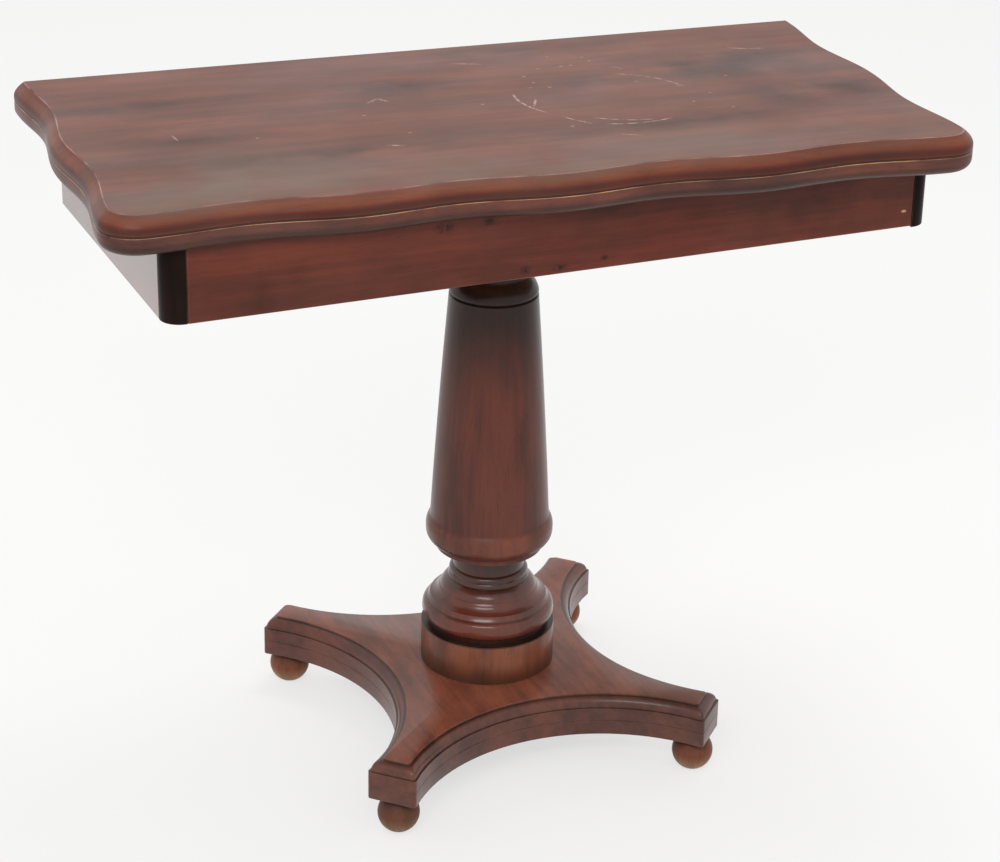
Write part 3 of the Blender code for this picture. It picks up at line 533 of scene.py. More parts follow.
def add_node(tree, kind, inputs=(), out=0, stops=(), **settings):
    """Adds a node of that kind, or takes a given one, and sets what it is told: its settings, its
    inputs, by name or in order and as values or links, and a ramp's stops. Gives back an output."""
    node = kind if isinstance(kind, bpy.types.Node) else tree.nodes.new("ShaderNode" + kind)
    for name, value in settings.items():
        setattr(node, name, value)
    for name, value in inputs.items() if isinstance(inputs, dict) else enumerate(inputs):
        if isinstance(value, bpy.types.NodeSocket):
            tree.links.new(value, node.inputs[name])
        else:
            node.inputs[name].default_value = value
    for number, (place, color) in enumerate(stops):
        elements = node.color_ramp.elements
        element = elements[number] if number < 2 else elements.new(place)
        element.position, element.color = place, color
    return node.outputs[out] if node.outputs else node


def new_finish(name):
    """A new material, its shader and add_node for its tree."""
    material = bpy.data.materials.new(name)
    material.use_nodes = True
    tree = material.node_tree
    return material, tree.nodes["Principled BSDF"], partial(add_node, tree)


def paint(color, share=1):
    """A colour, or the user's colour of that name, darkened or lightened by that share."""
    if isinstance(color, str):
        color = getattr(bpy.context.scene.card_table_colors, color)
    return (*(min(1, part * share) for part in color[:3]), 1)


def strokes_on_top():
    """Every scratch and speck on the top: its middle, turn, reach each way and strength."""
    strokes = []
    for first, last, near, far, width, strength in RING_ARCS:
        steps = max(2, round(abs(last - first) / 9))
        ends = []
        for step in range(steps + 1):
            t = step / steps
            turn = math.radians(first + (last - first) * t)
            along = Vector((math.cos(turn), math.sin(turn), 0))
            ends.append(RING_MIDDLE + (near + (far - near) * t) * along)
        strokes += [(start, end, width, strength) for start, end in zip(ends, ends[1:])]
    specks = ((x - 1, y, x + 1, y, 1.8, 0.6) for x, y in SPECKS)
    for x0, y0, x1, y1, width, strength in (*SCRATCHES, *specks):
        strokes.append((Vector((x0, y0, 0)), Vector((x1, y1, 0)), width, strength))
    for start, end, width, strength in strokes:
        along = end - start
        reach = Vector((along.length * 0.62 + width, width, width)) * MM
        turn = REST_TURN + math.atan2(along.y, along.x)
        yield place_on_top((start + end) / 2), turn, reach, 0.8 * strength


def clouds_on_top(clouds):
    for x, y, width, depth, strength in clouds:
        yield place_on_top(Vector((x, y, 0))), REST_TURN, Vector((width, depth, 8)) * MM, strength


def marks_on_frieze(places, strength):
    for x, z, width, height in places:
        yield Vector((x, FRIEZE_FRONT, z)) * MM, 0, Vector((width, height, height)) * MM, strength


def stroke_mask(add, place, strokes, raggedness):
    """A mask of oval strokes, from 0 to 1, broken up as scratches and stains in old polish are."""
    total = 0.0
    for middle, turn, reach, strength in strokes:
        oval = add("Mapping", (place, middle, (0, 0, turn), reach), vector_type="TEXTURE")
        spot = add("TexGradient", (oval,), "Fac", gradient_type="SPHERICAL")
        spot = add("Math", (spot, 2.0 * strength), operation="MULTIPLY")
        total = add("Math", (spot, total), operation="MAXIMUM")
    ragged = add("TexNoise", {"Vector": place, "Scale": raggedness, "Detail": 3})
    holes = add("MapRange", (ragged, 0.36, 0.56, 0.1))
    return add("Math", (total, holes), operation="MULTIPLY", use_clamp=True)


def rubbed_mask(add, radius, strength):
    """A mask of the edges: where a normal averaged over that radius leaves the surface's own."""
    normals = (add("Bevel", (radius,), samples=4), add("NewGeometry", out="Normal"))
    same = add("VectorMath", normals, "Value", operation="DOT_PRODUCT")
    return add("MapRange", (same, 0.99, 0.88, 0, strength))


def streaks(add, place, stretch, scale, detail):
    """A cloudy pattern from 0 to 1, drawn out lengthwise where the stretch is less than 1."""
    spread = add("VectorMath", (place, stretch), operation="MULTIPLY")
    return add("TexNoise", {"Vector": spread, "Scale": scale, "Detail": detail})


def polished_mahogany(
    name, color, turn=UPRIGHT, shift=0, contrast=0.6, mottle=0.4, haze=0.05, gloss=0.34, shine=0.2,
    coat=0.1, worn=0.3, bands=(), rubs=(), marks=(),
):
    """Old mahogany, planed or turned and French polished: straight grain with short dark pores under
    a broad ribbon of light and dark, a cloudy bloom on the polish, edges rubbed to bare wood and
    bands of colour by height, which paint old wax, painted shade and painted highlights. A band is
    its middle height, half its height and its soft edge in millimetres, its colour and its
    strength, and a rub is a band that is worn in patches. Marks are strokes, a colour and how
    finely they are broken up, and some of them paint shade. The turn lays the grain, which runs
    along x without it.
    """
    material, shader, add = new_finish(name)
    place = add("TexCoord", out="Object")
    along = add("Mapping", (place, (shift, shift * 0.7, shift * 1.3), turn))
    # The grain wanders by a few millimetres over a hand's breadth.
    wander = add("TexNoise", {"Vector": along, "Scale": 5, "Detail": 2}, "Color")
    bent = add("VectorMath", (wander, (0.014, 0.014, 0.014), along), operation="MULTIPLY_ADD")
    # Grain lines lie about 4 mm apart and run for 80 mm, ribbons are 40 mm wide, and pores are drawn
    # 1 mm wide and 12 mm long, coarser than real ones, so that they show.
    lines = streaks(add, bent, (0.05, 1, 1), 140, 5)
    ribbons = streaks(add, bent, (0.2, 1, 1), 20, 3)
    pores = streaks(add, bent, (0.08, 1, 1), 750, 1)
    patches = streaks(add, bent, (0.7, 1, 1), 30, 4)
    clouds = streaks(add, bent, (0.6, 1, 1), 8, 5)
    patchy = add("MapRange", (patches, 0.32, 0.6))
    wood = paint(color)
    height = add("SeparateXYZ", (place,), "Z")
    for number, (middle, half, soft, tint, strength) in enumerate((*bands, *rubs)):
        away = add("Math", (height, middle * MM), operation="SUBTRACT")
        away = add("Math", (away,), operation="ABSOLUTE")
        edge = (away, half * MM, (half - soft) * MM, 0, strength)
        mask = add("MapRange", edge, interpolation_type="SMOOTHSTEP")
        if number >= len(bands):
            mask = add("Math", (mask, patchy), operation="MULTIPLY")
        wood = add("Mix", {0: mask, 6: wood, 7: paint(tint)}, 2, data_type="RGBA")
    tone = add("Math", (lines, 0.6, ribbons), operation="MULTIPLY_ADD")
    tone = add("Math", (patches, mottle, tone), operation="MULTIPLY_ADD")
    tone = add("Math", (tone, 0.5), operation="MULTIPLY")
    # Dark grain is browner and light grain more orange than the wood between.
    even = 0.4 + mottle / 4
    dark = (1 - 0.55 * contrast, 1 - 0.48 * contrast, 1 - 0.45 * contrast, 1)
    light = (1 + 0.55 * contrast, 1 + 0.5 * contrast, 1 + 0.35 * contrast, 1)
    grain = add("ValToRGB", (tone,), stops=((even - 0.1, dark), (even + 0.1, light), (even, WHITE)))
    wood = add("Mix", {0: 1, 6: wood, 7: grain}, 2, data_type="RGBA", blend_type="MULTIPLY")
    pores = add("MapRange", (pores, 0.56, 0.72, 0, 0.45 * contrast))
    bloom = add("MapRange", (clouds, 0.35, 0.65, 0, 2 * haze))
    rubbed = add("Math", (rubbed_mask(add, 0.0011, worn), patchy), operation="MULTIPLY")
    layers = [(pores, paint(color, 0.3)), (bloom, "haze"), (rubbed, "worn")]
    for strokes, tint, raggedness in marks:
        layers.append((stroke_mask(add, place, strokes, raggedness), tint))
    for mask, tint in layers:
        wood = add("Mix", {0: mask, 6: wood, 7: paint(tint)}, 2, data_type="RGBA")
    rough = add("MapRange", (clouds, 0.35, 0.65, gloss - 0.06, gloss + 0.09))
    relief = add("Math", (lines, pores), operation="SUBTRACT")
    bump = add("Bump", {"Height": relief, "Strength": 0.2, "Distance": 0.0002})
    add(shader, {"Base Color": wood, "Roughness": rough, "Normal": bump})
    add(shader, {"Specular IOR Level": shine, "Coat Weight": coat, "Coat Roughness": 0.2})
    return material


def planed_beech():
    """Beech, planed and left bare: pale and matt, with fine straight lines and short flecks."""
    material, shader, add = new_finish("planed_beech")
    place = add("TexCoord", out="Object")
    # Lines lie about 3 mm apart, and flecks are 1 by 4 mm, as large as beech's own.
    lines = streaks(add, place, (1, 0.06, 1), 160, 4)
    flecks = streaks(add, place, (1, 0.25, 1), 900, 0)
    stops = ((0.35, paint("beech", 0.7)), (0.65, paint("beech", 1.2)))
    wood = add("ValToRGB", (lines,), stops=stops)
    mask = add("MapRange", (flecks, 0.6, 0.68, 0, 0.5))
    wood = add("Mix", {0: mask, 6: wood, 7: paint("beech", 0.4)}, 2, data_type="RGBA")
    bump = add("Bump", {"Height": lines, "Strength": 0.3, "Distance": 0.0002})
    add(shader, {"Base Color": wood, "Normal": bump, "Roughness": 0.72})
    return material


def tarnished_metal(name, color, bright, dull):
    """Cast brass or wrought iron, filed flat and long untouched: brown tarnish in clouds, edges
    rubbed bright, and file lines that catch the light."""
    material, shader, add = new_finish(name)
    place = add("TexCoord", out="Object")
    clouds = add("TexNoise", {"Vector": place, "Scale": 130, "Detail": 5})
    metal = add("ValToRGB", (clouds,), stops=((0.35, paint(color, 0.45)), (0.62, paint(color))))
    edges = rubbed_mask(add, 0.0005, 0.7)
    metal = add("Mix", {0: edges, 6: metal, 7: paint(color, 1.7)}, 2, data_type="RGBA")
    rough = add("MapRange", (clouds, 0.35, 0.65, dull, bright))
    # File lines are drawn half a millimetre apart, coarser than real ones, so that they show.
    lines = streaks(add, place, (0.05, 1, 1), 1500, 2)
    bump = add("Bump", {"Height": lines, "Strength": 0.2, "Distance": 0.0001})
    add(shader, {"Base Color": metal, "Roughness": rough, "Normal": bump, "Metallic": 1})
    return material


def wool_baize():
    """Wool baize, felted and dyed green: no shine, a short nap that lies unevenly, paler where it
    is worn, and a soft sheen where light grazes it."""
    material, shader, add = new_finish("green_wool_baize")
    place = add("TexCoord", out="Object")
    # The nap is drawn as tufts about 1 mm wide, coarser than real wool, so that they show.
    nap = add("TexNoise", {"Vector": place, "Scale": 800, "Detail": 2})
    worn = add("TexNoise", {"Vector": place, "Scale": 8, "Detail": 4})
    tone = add("Math", (nap, 2, worn), operation="MULTIPLY_ADD")
    tone = add("Math", (tone, 1 / 3), operation="MULTIPLY")
    stops = ((0.3, paint("baize", 0.65)), (0.7, paint("baize", 1.3)))
    cloth = add("ValToRGB", (tone,), stops=stops)
    bump = add("Bump", {"Height": nap, "Strength": 0.6, "Distance": 0.0004})
    add(shader, {"Base Color": cloth, "Normal": bump, "Roughness": 0.95, "Sheen Weight": 0.3})
    return material


def dress(piece, body, slot, material, *nodes):
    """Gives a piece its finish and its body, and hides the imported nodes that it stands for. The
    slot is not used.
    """
    piece.data.materials.clear()
    piece.data.materials.append(material)
    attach(piece, body)
    if nodes:
        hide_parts(*nodes)


def dress_nodes(material, *names):
    """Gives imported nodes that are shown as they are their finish."""
    for name in names:
        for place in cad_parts[name].material_slots:
            place.material = material


# Pieces


class CARDTABLE_OT_folding_leaf(bpy.types.Operator):
    """Models the upper leaf, with its round-over above and cloth pocket below"""

    bl_idname = "card_table.folding_leaf"
    bl_label = "Folding leaf"

    def execute(self, context):
        sizes = context.scene.card_table_top
        above = thumb_round(sizes.round_width, sizes.round_drop, 11)
        piece = model_leaf("folding_leaf", sizes, above, quarter_round(LEAF_EASE, LEAF_EASE), -1)
        tidy_mesh(piece, 24)
        put_in_place(piece, leaf_origin(SEAM + SEAT_GAP / 2), REST_TURN)
        material = polished_mahogany(
            "worn_polished_mahogany_upper", "moulding", turn=(0, 0, -REST_TURN), contrast=0.5,
            haze=0.07, gloss=0.40, coat=0.05,
            # The band at 734 mm paints a highlight on the upper half of the round-over in the drum's
            # colour, the band at 725.5 mm paints shade on its lower half, and the narrow dark band at
            # 721 mm paints the shadow in the seam between the leaves.
            bands=(
                (734, 5, 4, "drum", 0.8), (725.5, 5.4, 4.4, "wax", 0.5),
                (721, 0.9, 0.4, "wax", 0.9), (740, 0.3, 0.1, "top", 1),
            ),
            rubs=((739.5, 0.45, 0.2, "scuff", 0.6),),
            marks=(
                (clouds_on_top(BLOOMS), "haze", 7), (clouds_on_top(SMUDGES), "wax", 14),
                (strokes_on_top(), "scuff", 200),
            ),
        )
        dress(piece, "upper_leaf", "top_wood", material, "upper_leaf")
        return {"FINISHED"}


class CARDTABLE_OT_swivel_leaf(bpy.types.Operator):
    """Models the lower leaf, with its quarter round below and cloth pocket above"""

    bl_idname = "card_table.swivel_leaf"
    bl_label = "Swivel leaf"

    def execute(self, context):
        sizes = context.scene.card_table_top
        below = quarter_round(sizes.under_radius, sizes.under_radius, 9)
        piece = model_leaf("swivel_leaf", sizes, quarter_round(LEAF_EASE, LEAF_EASE), below, 1)
        cut(piece, round_cutter(FLANGE_RADIUS, 2 * FLANGE_DEPTH, -BACK_MIDDLE))
        cut(piece, round_cutter(PEG_RADIUS, 2 * PEG_DEPTH, PEG_FROM_PIVOT - BACK_MIDDLE))
        tidy_mesh(piece, 24)
        put_in_place(piece, leaf_origin(UNDERSIDE), REST_TURN)
        material = polished_mahogany(
            "worn_polished_mahogany_lower", "edge", turn=(0, 0, -REST_TURN), shift=0.37,
            contrast=0.7, gloss=0.38,
            # The dark band at 704 mm darkens the lower quarter round towards the underside.
            bands=((704, 9, 6, "wax", 0.5),), rubs=((719.1, 0.5, 0.3, "worn", 0.9),),
        )
        dress(piece, "lower_leaf", "top_wood", material, "lower_leaf")
        return {"FINISHED"}


class CARDTABLE_OT_cloth(bpy.types.Operator):
    """Lays the green cloth in the pockets of both leaves"""

    bl_idname = "card_table.cloth"
    bl_label = "Cloth"

    def execute(self, context):
        sizes = context.scene.card_table_top
        width, depth, thickness = sizes.baize_width, sizes.baize_depth, sizes.baize_thickness
        material = wool_baize()
        middle = -(sizes.baize_border + depth / 2)
        for name, leaf, bottom in (
            ("lower", "swivel_leaf", UNDERSIDE + sizes.thickness - CLOTH_SUNK - thickness),
            ("upper", "folding_leaf", SEAM + SEAT_GAP / 2 + CLOTH_SUNK),
        ):
            corners = ((-1, -1), (1, -1), (1, 1), (-1, 1))
            outline = [(x * width / 2, middle + y * depth / 2, 0) for x, y in corners]
            cloth = trace("baize_" + name, outline)
            eased = [(0.0003, thickness * 0.25), (0.0008, thickness * 0.15)]
            raise_slab(cloth, [thickness * 0.6], eased)
            tidy_mesh(cloth, 60)
            put_in_place(cloth, leaf_origin(bottom), REST_TURN)
            dress(cloth, name + "_leaf", "baize", material, name + "_baize")
        return {"FINISHED"}


class CARDTABLE_OT_frieze(bpy.types.Operator):
    """Models the rounded corner posts and finishes the rails"""

    bl_idname = "card_table.frieze"
    bl_label = "Frieze"

    def execute(self, context):
        post_finish = polished_mahogany(
            "polished_mahogany_posts", "post", shift=0.4, contrast=1, haze=0.02, shine=0.05, coat=0
        )
        inside = FRIEZE_FRONT * MM + FRONT_THICKNESS
        for side, name in ((-1, "left"), (1, "right")):
            node = f"front_{name}_corner_block"
            low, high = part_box(node)
            end, front = (low.x if side < 0 else high.x), low.y
            points = [(end - side * POST_WIDTH, inside), (end - side * POST_WIDTH, front)]
            for step in range(17):
                turn = QUARTER_TURN * step / 16
                across = end - side * POST_RADIUS * (1 - math.sin(turn))
                points.append((across, front + POST_RADIUS * (1 - math.cos(turn))))
            back, rail = front + POST_WIDTH, end - side * SIDE_THICKNESS
            points += [(end, back), (rail, back), (rail, inside)]
            post = trace("corner_post_" + name, [(x, y, low.z + EASE) for x, y in points])
            eased = quarter_round(EASE, EASE)
            raise_slab(post, [high.z - low.z - 2 * EASE], eased, eased)
            tidy_mesh(post)
            dress(post, "frame", "frieze_wood", post_finish, node)
        rail_finish = polished_mahogany(
            "polished_mahogany_frieze", "frieze", turn=(0, 0, 0), shift=0.15, contrast=0.5,
            shine=0.15, bands=((702, 18, 16, "wax", 0.4),),
            marks=(
                (marks_on_frieze(FRIEZE_SHADES, 0.3), "wax", 14),
                (marks_on_frieze(FRIEZE_STAINS, 0.45), "wax", 240),
                (marks_on_frieze(NAIL_HEAD, 0.9), "worn", 100),
            ),
        )
        side_finish = polished_mahogany(
            "polished_mahogany_sides", "frieze", turn=CROSSWISE, shift=0.25, contrast=0.5,
            gloss=0.22, shine=0.5, coat=1,
        )
        dress_nodes(rail_finish, "front_rail", "back_rail")
        dress_nodes(side_finish, "left_side_rail", "right_side_rail")
        return {"FINISHED"}


class CARDTABLE_OT_column(bpy.types.Operator):
    """Turns the shaft, the ringed base turning and the drum"""

    bl_idname = "card_table.column"
    bl_label = "Column"

    def execute(self, context):
        # The shaft tapers with a slight swell between its head and its bead.
        tenths = [step / 10 for step in range(1, 10)]
        cone = [(49 + 17.2 * t + 3.2 * t * (1 - t), 532 - 253.7 * t) for t in tenths]
        profile = [(0, 651.7), (20, 651.7)] + curved(SHAFT_HEAD) + cone + curved(SHAFT_BEAD)
        shaft = turn_on_lathe("turned_shaft", profile)
        base = turn_on_lathe("ringed_base", [(0, 265.8), (15, 265.8)] + curved(BASE_RINGS))
        cut(base, block_cutter(SPIGOT_SLOT, SLOT_MIDDLE))
        tidy_mesh(base)
        drum = turn_on_lathe("round_drum", DRUM + DRUM[:1])
        shaft_finish = polished_mahogany(
            "polished_mahogany_column", "column", haze=0.04, gloss=0.3, shine=0.15, coat=0.25,
            worn=0.1,
            bands=(
                # The wide band at 640 mm darkens the head and the upper shaft, partly a darker wood
                # and partly the frieze's shadow painted on; the narrow one is a dark line in the
                # quirk under the head.
                (640, 240, 140, "wax", 0.85), (533.4, 1.6, 0.6, "wax", 0.8),
                (256, 13, 6, "platform", 0.45),
            ),
        )
        base_finish = polished_mahogany(
            "polished_mahogany_rings", paint("column", 1.15), shift=0.21, haze=0.04, gloss=0.24,
            coat=0.5, worn=0.1,
            bands=(
                # The wide band at 210 mm darkens the upper rings under the bead, the two narrow bands
                # are dark lines in grooves, and the band at 139 mm paints shadow in the groove over
                # the drum.
                (210, 32, 22, "wax", 0.6), (191.6, 1, 0.5, "wax", 0.8),
                (163, 0.9, 0.5, "wax", 0.6), (139, 4.5, 1, "wax", 0.7),
            ),
        )
        drum_finish = polished_mahogany(
            "polished_mahogany_drum", "drum", shift=0.5, mottle=1, coat=0.2,
            # The band at 134.8 mm paints shadow on the drum's top, and the wide band darkens the drum
            # towards its foot.
            bands=((134.8, 1.6, 0.6, "wax", 0.9), (88, 28, 26, "wax", 0.6)),
        )
        dress(shaft, "frame", "column_wood", shaft_finish, "column_shaft")
        dress(base, "frame", "column_wood", base_finish, "column_base_turning")
        dress(drum, "frame", "column_wood", drum_finish, "plinth_drum")
        return {"FINISHED"}


class CARDTABLE_OT_platform(bpy.types.Operator):
    """Models the platform with its four arms, hollow sides and ovolo"""

    bl_idname = "card_table.platform"
    bl_label = "Platform"

    def execute(self, context):
        sizes = context.scene.card_table_base
        reach, radius = sizes.arm_reach, sizes.hollow_radius
        corner = Matrix.Rotation(QUARTER_TURN / 2, 2) @ Vector((reach, -sizes.arm_width / 2))
        sweep = math.asin(corner.y / radius)
        centre = corner.x + radius * math.cos(sweep)
        # A hollow's last step at each end is long enough for the mouldings' mitres to stay on it.
        last_step = 0.018
        inner = sweep - last_step / radius
        turns = [-sweep, *(inner * (step / 16 - 1) for step in range(33)), sweep]
        side = [(centre - radius * math.cos(turn), radius * math.sin(turn)) for turn in turns]
        outline = []
        for quarter in range(4):
            turned = Matrix.Rotation(QUARTER_TURN * quarter, 2)
            outline += [turned @ Vector(point) for point in side]
        bottom = sizes.foot_height + SEAT_GAP
        # The mouldings rise from small level steps. A fine line runs round the edge at that height,
        # where the two boards of the platform meet.
        step_up, step_in, line, line_depth = 0.0004, 0.0020, 0.018, 0.0005
        piece = trace("arm_platform", [(x, y, bottom + EASE) for x, y in outline])
        straight = sizes.platform_thickness - sizes.ovolo_height - 2 * step_up - sizes.fillet_height
        heights = (line - 2 * step_up - EASE, step_up, step_up, straight - line)
        ovolo = quarter_round(sizes.ovolo_width, sizes.ovolo_height, 8)
        eased = quarter_round(EASE, EASE)
        fillet = [(step_in / 2, step_up), (0, sizes.fillet_height - EASE), *eased]
        raise_slab(piece, heights, [(step_in, step_up)] + ovolo + fillet, eased)
        line_height = bottom + line - step_up
        pick(piece, "VERT", lambda point: abs(point.co.z - line_height) < 0.0001)
        bpy.ops.transform.shrink_fatten(value=-line_depth)
        # The corners of the arms' ends are eased from the underside to the top.
        points = piece.data.vertices
        past = (reach - CORNER_REACH) * math.sqrt(2)

        def on_corner(edge):
            ends = [points[number].co for number in edge.vertices]
            outer = all(abs(end.x) + abs(end.y) > past for end in ends)
            return outer and abs(ends[0].z - ends[1].z) > 0.00001

        pick(piece, "EDGE", on_corner)
        bpy.ops.mesh.bevel(offset=CORNER_ROUND, segments=4, affect="EDGES")
        tidy_mesh(piece)
        cut(piece, round_cutter(*SPIGOT_HOLE))
        for _, place in foot_places(sizes):
            cut(piece, round_cutter(*DOWEL_HOLE, place + Vector((0, 0, bottom))))
        tidy_mesh(piece, 24)
        top = (bottom + sizes.platform_thickness) / MM
        fillet_foot = top - sizes.fillet_height / MM
        material = polished_mahogany(
            "polished_mahogany_platform", "edge", turn=CROSSWISE, shift=0.8, mottle=0.8,
            gloss=0.28, coat=0.25, worn=0.2,
            bands=(
                (top, 0.5, 0.2, "platform", 1),
                # The two bands under the fillet and under the ovolo paint shade in the moulding's
                # steps; the last band is the dark joint between the boards.
                (fillet_foot - 0.2, 0.7, 0.4, "wax", 0.6),
                (fillet_foot - sizes.ovolo_height / MM - 0.6, 0.7, 0.4, "wax", 0.5),
                (line_height / MM, 0.5, 0.2, "wax", 0.7),
            ),
        )
        dress(piece, "frame", "platform_wood", material, "platform_base")
        return {"FINISHED"}


class CARDTABLE_OT_feet(bpy.types.Operator):
    """Turns one bun foot and sets a copy under each arm"""

    bl_idname = "card_table.feet"
    bl_label = "Bun feet"

    def execute(self, context):
        sizes = context.scene.card_table_base
        # The flats are 0.45 of the foot's width. A dowel 14 mm thick and 18 mm high stands on it.
        flat = math.asin(0.45)
        middle = sizes.foot_height / 2
        rise = middle / math.cos(flat)
        top = sizes.foot_height / MM
        profile = [(0, top + 18), (6.6, top + 18), (7, top + 17.6), (7, top)]
        for step in range(25):
            turn = flat + (math.pi - 2 * flat) * step / 24
            radius, height = sizes.foot_radius * math.sin(turn), middle + rise * math.cos(turn)
            profile.append((radius / MM, height / MM))
        profile.append((0, 0))
        material = polished_mahogany(
            "worn_polished_mahogany_feet", "feet", shift=0.6, contrast=0.7, gloss=0.45, coat=0,
            # The first band is the worn foot of each bun; the second paints shade on their tops,
            # under the platform.
            bands=((0, 24, 20, paint("worn", 0.8), 0.7), (top, 16, 14, "wax", 0.5)),
        )
        places = list(foot_places(sizes))
        first_name, first_place = places[0]
        first = turn_on_lathe("bun_" + first_name, profile, first_place.xy, steps=64)
        for name, place in places:
            foot = first if name == first_name else like(first, "bun_" + name, place - first_place)
            dress(foot, "frame", "foot_wood", material, name)
        return {"FINISHED"}


def set_in_back_edge(piece, place, slant=0):
    """Turns an upright screw or cutter about itself, lays it with its head to the back, and moves it
    to its place on the leaves' back edge, measured from where they fold."""
    work_on(piece)
    piece.matrix_world = (
        Matrix.Translation(leaf_origin(SEAM))
        @ Matrix.Rotation(REST_TURN, 4, "Z")
        @ Matrix.Translation(place)
        @ Matrix.Rotation(-QUARTER_TURN, 4, "X")
        @ Matrix.Rotation(slant, 4, "Z")
    )
    bpy.ops.object.transform_apply()
    return piece


class CARDTABLE_OT_hinges(bpy.types.Operator):
    """Countersinks the hinge plates, and turns a slotted screw and sets copies of it in them"""

    bl_idname = "card_table.hinges"
    bl_label = "Hinges"

    def execute(self, context):
        brass = tarnished_metal("tarnished_cast_brass", "brass", 0.45, 0.3)
        # Radii and heights in millimetres: a screw with a slotted head, and the countersink for it
        screw_profile = ((0, 0), (2.8, 0), (3, -0.2), (1.5, -1.7), (1.2, -7), (0, -8))
        screw = turn_on_lathe("countersunk_screw", screw_profile, steps=24)
        cut(screw, block_cutter((0.0070, 0.0007, 0.0014), (0, 0, 0)))
        sink_profile = ((0, 1), (3.2, 1), (3.2, 0), (1.6, -1.8), (0, -1.8))
        sink = turn_on_lathe("countersink", sink_profile, steps=24)
        face = -FOLD_BEHIND - SCREW_SUNK
        for side, x in hinge_places():
            for level, away in (("lower", -1), ("upper", 1)):
                node = f"{side}_hinge_{level}_plate"
                plate = like(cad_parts[node], f"{side}_{level}_countersunk_plate")
                for key in list(plate.keys()):
                    del plate[key]
                tidy_mesh(plate)
                join_flats(plate)
                screws = []
                for number in (-1, 0, 1):
                    place = (x + number * SCREW_SPACING, face, away * SCREW_FROM_FOLD)
                    cut(plate, set_in_back_edge(like(sink, "sink"), place))
                    twin = like(screw, f"{side}_{level}_hinge_screws")
                    screws.append(set_in_back_edge(twin, place, 0.5 + number * away))
                join_flats(plate)
                tidy_mesh(plate)
                work_on(screws[0])
                for twin in screws:
                    twin.select_set(True)
                bpy.ops.object.join()
                tidy_mesh(screws[0])
                for made in (plate, screws[0]):
                    dress(made, f"{level}_leaf", "brass", brass)
                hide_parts(node)
            dress_nodes(brass, f"{side}_hinge_pin")
        for pattern in (screw, sink):
            bpy.data.objects.remove(pattern)
        return {"FINISHED"}


class CARDTABLE_OT_carried_over(bpy.types.Operator):
    """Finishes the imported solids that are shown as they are"""

    bl_idname = "card_table.carried_over"
    bl_label = "Inner wood and metal"

    def execute(self, context):
        beech = planed_beech()
        iron = tarnished_metal("dull_wrought_iron", "iron", 0.6, 0.4)
        dress_nodes(beech, "pivot_rail", "column_bearer", "well_partition", "well_floor")
        dress_nodes(beech, "stop_peg", "tenon_wedge")
        dress_nodes(iron, "pivot_bolt", "pivot_washer", "pivot_nut")
        return {"FINISHED"}


def seen_rays(add):
    """1 where the surroundings are seen or mirrored, and 0 where they only give light."""
    rays = ("Is Camera Ray", "Is Glossy Ray", "Is Transmission Ray")
    camera, gloss, clear = (add("LightPath", out=ray) for ray in rays)
    seen = add("Math", (camera, gloss), operation="MAXIMUM")
    return add("Math", (seen, clear), operation="MAXIMUM")


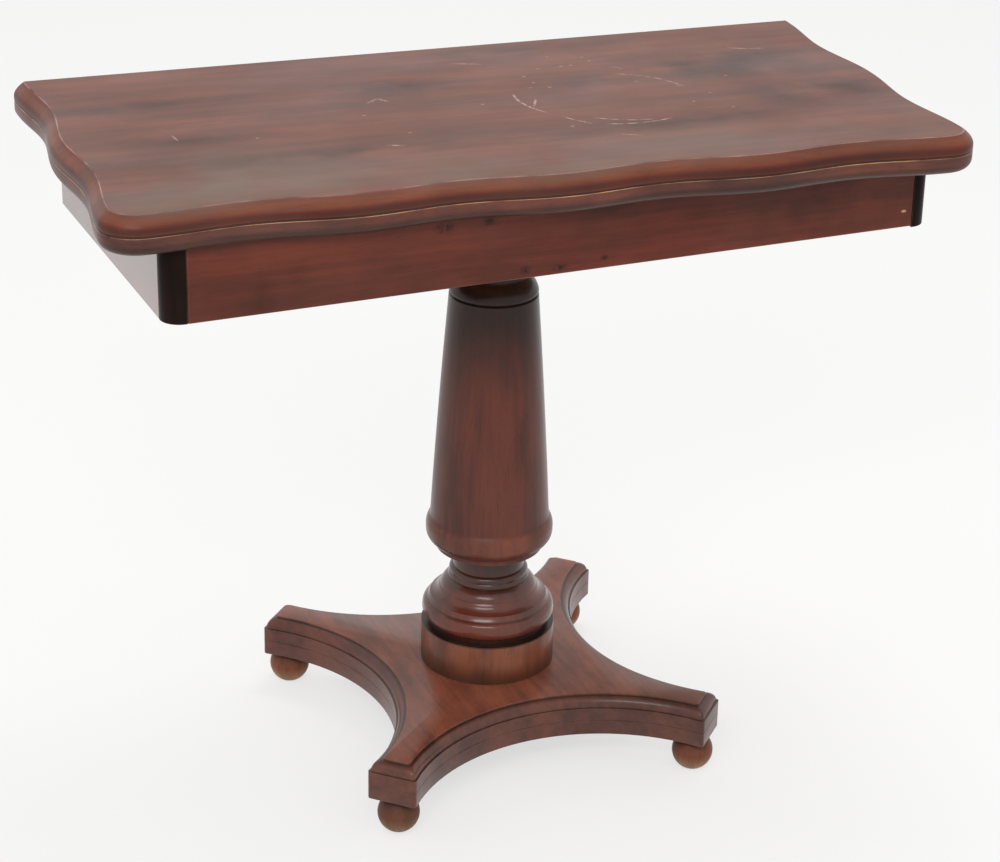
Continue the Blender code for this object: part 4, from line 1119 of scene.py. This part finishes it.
class CARDTABLE_OT_stage(bpy.types.Operator):
    """Lays the pale floor, hangs the soft lamps and sets up the camera"""

    bl_idname = "card_table.stage"
    bl_label = "Stage"

    def execute(self, context):
        sizes = context.scene.card_table_stage
        deselect_all()
        bpy.ops.mesh.primitive_plane_add(size=60, location=(0, 0, 0))
        floor = context.object
        floor.name = "pale_floor"
        material, shader, add = new_finish("matt_pale_paper")
        add(shader, {"Base Color": paint("floor"), "Roughness": 0.9, "Specular IOR Level": 0.1})
        # The paper is seen and mirrored paler than it is lit, so that it stays near white.
        pale = add("Emission", (WHITE, 1))
        share = add("Math", (seen_rays(add), sizes.paper_glow), operation="MULTIPLY")
        both = add("MixShader", (share, shader.outputs[0], pale))
        add(material.node_tree.nodes["Material Output"], (both,))
        floor.data.materials.append(material)
        floor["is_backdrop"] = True
        world = bpy.data.worlds.new("white_surroundings")
        context.scene.world = world
        world.use_nodes = True
        world.node_tree.nodes.clear()
        add = partial(add_node, world.node_tree)
        lit = add("Background", (WHITE, sizes.sky_level))
        shown = add("Background", (WHITE, 1))
        add("OutputWorld", (add("MixShader", (seen_rays(add), lit, shown)),))
        for name, power, size, place, target in (
            ("main_softbox", sizes.key_power, (2.2, 0.7), (-1.7, -2.7, 2.9), (0, 0, 0.5)),
            ("overhead_softbox", sizes.top_power, (0.9, 0.9), (0.6, 0.6, 3), (0, 0, 0.4)),
        ):
            bpy.ops.object.light_add(type="AREA", location=place)
            lamp = context.object
            lamp.name = name
            lamp.data.shape = "RECTANGLE"
            lamp.data.size, lamp.data.size_y = size
            lamp.data.energy = power
            aim = Vector(target) - Vector(place)
            lamp.rotation_euler = aim.to_track_quat("-Z", "Y").to_euler()
        bpy.ops.object.camera_add(location=sizes.camera_place)
        camera = context.object
        camera.name = "photograph_camera"
        turn = Matrix.Rotation(-sizes.camera_turn, 3, "Z")
        tilt = Matrix.Rotation(QUARTER_TURN - sizes.camera_tilt, 3, "X")
        roll = Matrix.Rotation(sizes.camera_roll, 3, "Z")
        camera.rotation_euler = (turn @ tilt @ roll).to_euler()
        camera.data.lens = sizes.lens
        camera.data.sensor_width = 36
        context.scene.camera = camera
        context.scene.view_settings.view_transform = "Standard"
        return {"FINISHED"}


OPERATORS = (
    CARDTABLE_OT_folding_leaf, CARDTABLE_OT_swivel_leaf, CARDTABLE_OT_cloth, CARDTABLE_OT_frieze,
    CARDTABLE_OT_column, CARDTABLE_OT_platform, CARDTABLE_OT_feet, CARDTABLE_OT_hinges,
    CARDTABLE_OT_carried_over, CARDTABLE_OT_stage,
)


class CARDTABLE_PT_pieces(bpy.types.Panel):
    """Lists the table's pieces in the sidebar"""

    bl_idname = "CARDTABLE_PT_pieces"
    bl_label = "Card table"
    bl_space_type = "VIEW_3D"
    bl_region_type = "UI"
    bl_category = "Card Table"

    def draw(self, context):
        for operator in OPERATORS:
            self.layout.operator(operator.bl_idname)


SETTINGS = {
    "card_table_top": TopSizes,
    "card_table_base": BaseSizes,
    "card_table_colors": Colors,
    "card_table_stage": StageSizes,
}
CLASSES = (*SETTINGS.values(), *OPERATORS, CARDTABLE_PT_pieces)


def register():
    for item in CLASSES:
        bpy.utils.register_class(item)
    for name, group in SETTINGS.items():
        setattr(bpy.types.Scene, name, bpy.props.PointerProperty(type=group))


def unregister():
    for name in SETTINGS:
        delattr(bpy.types.Scene, name)
    for item in reversed(CLASSES):
        bpy.utils.unregister_class(item)


def main():
    register()
    for operator in OPERATORS:
        group, name = operator.bl_idname.split(".")
        getattr(getattr(bpy.ops, group), name)()
    boxes = {"cad": CAD_BOX, "visual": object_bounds()}
    sizes = {name: [list(corner) for corner in box] for name, box in boxes.items()}


if __name__ == "__main__":
    main()
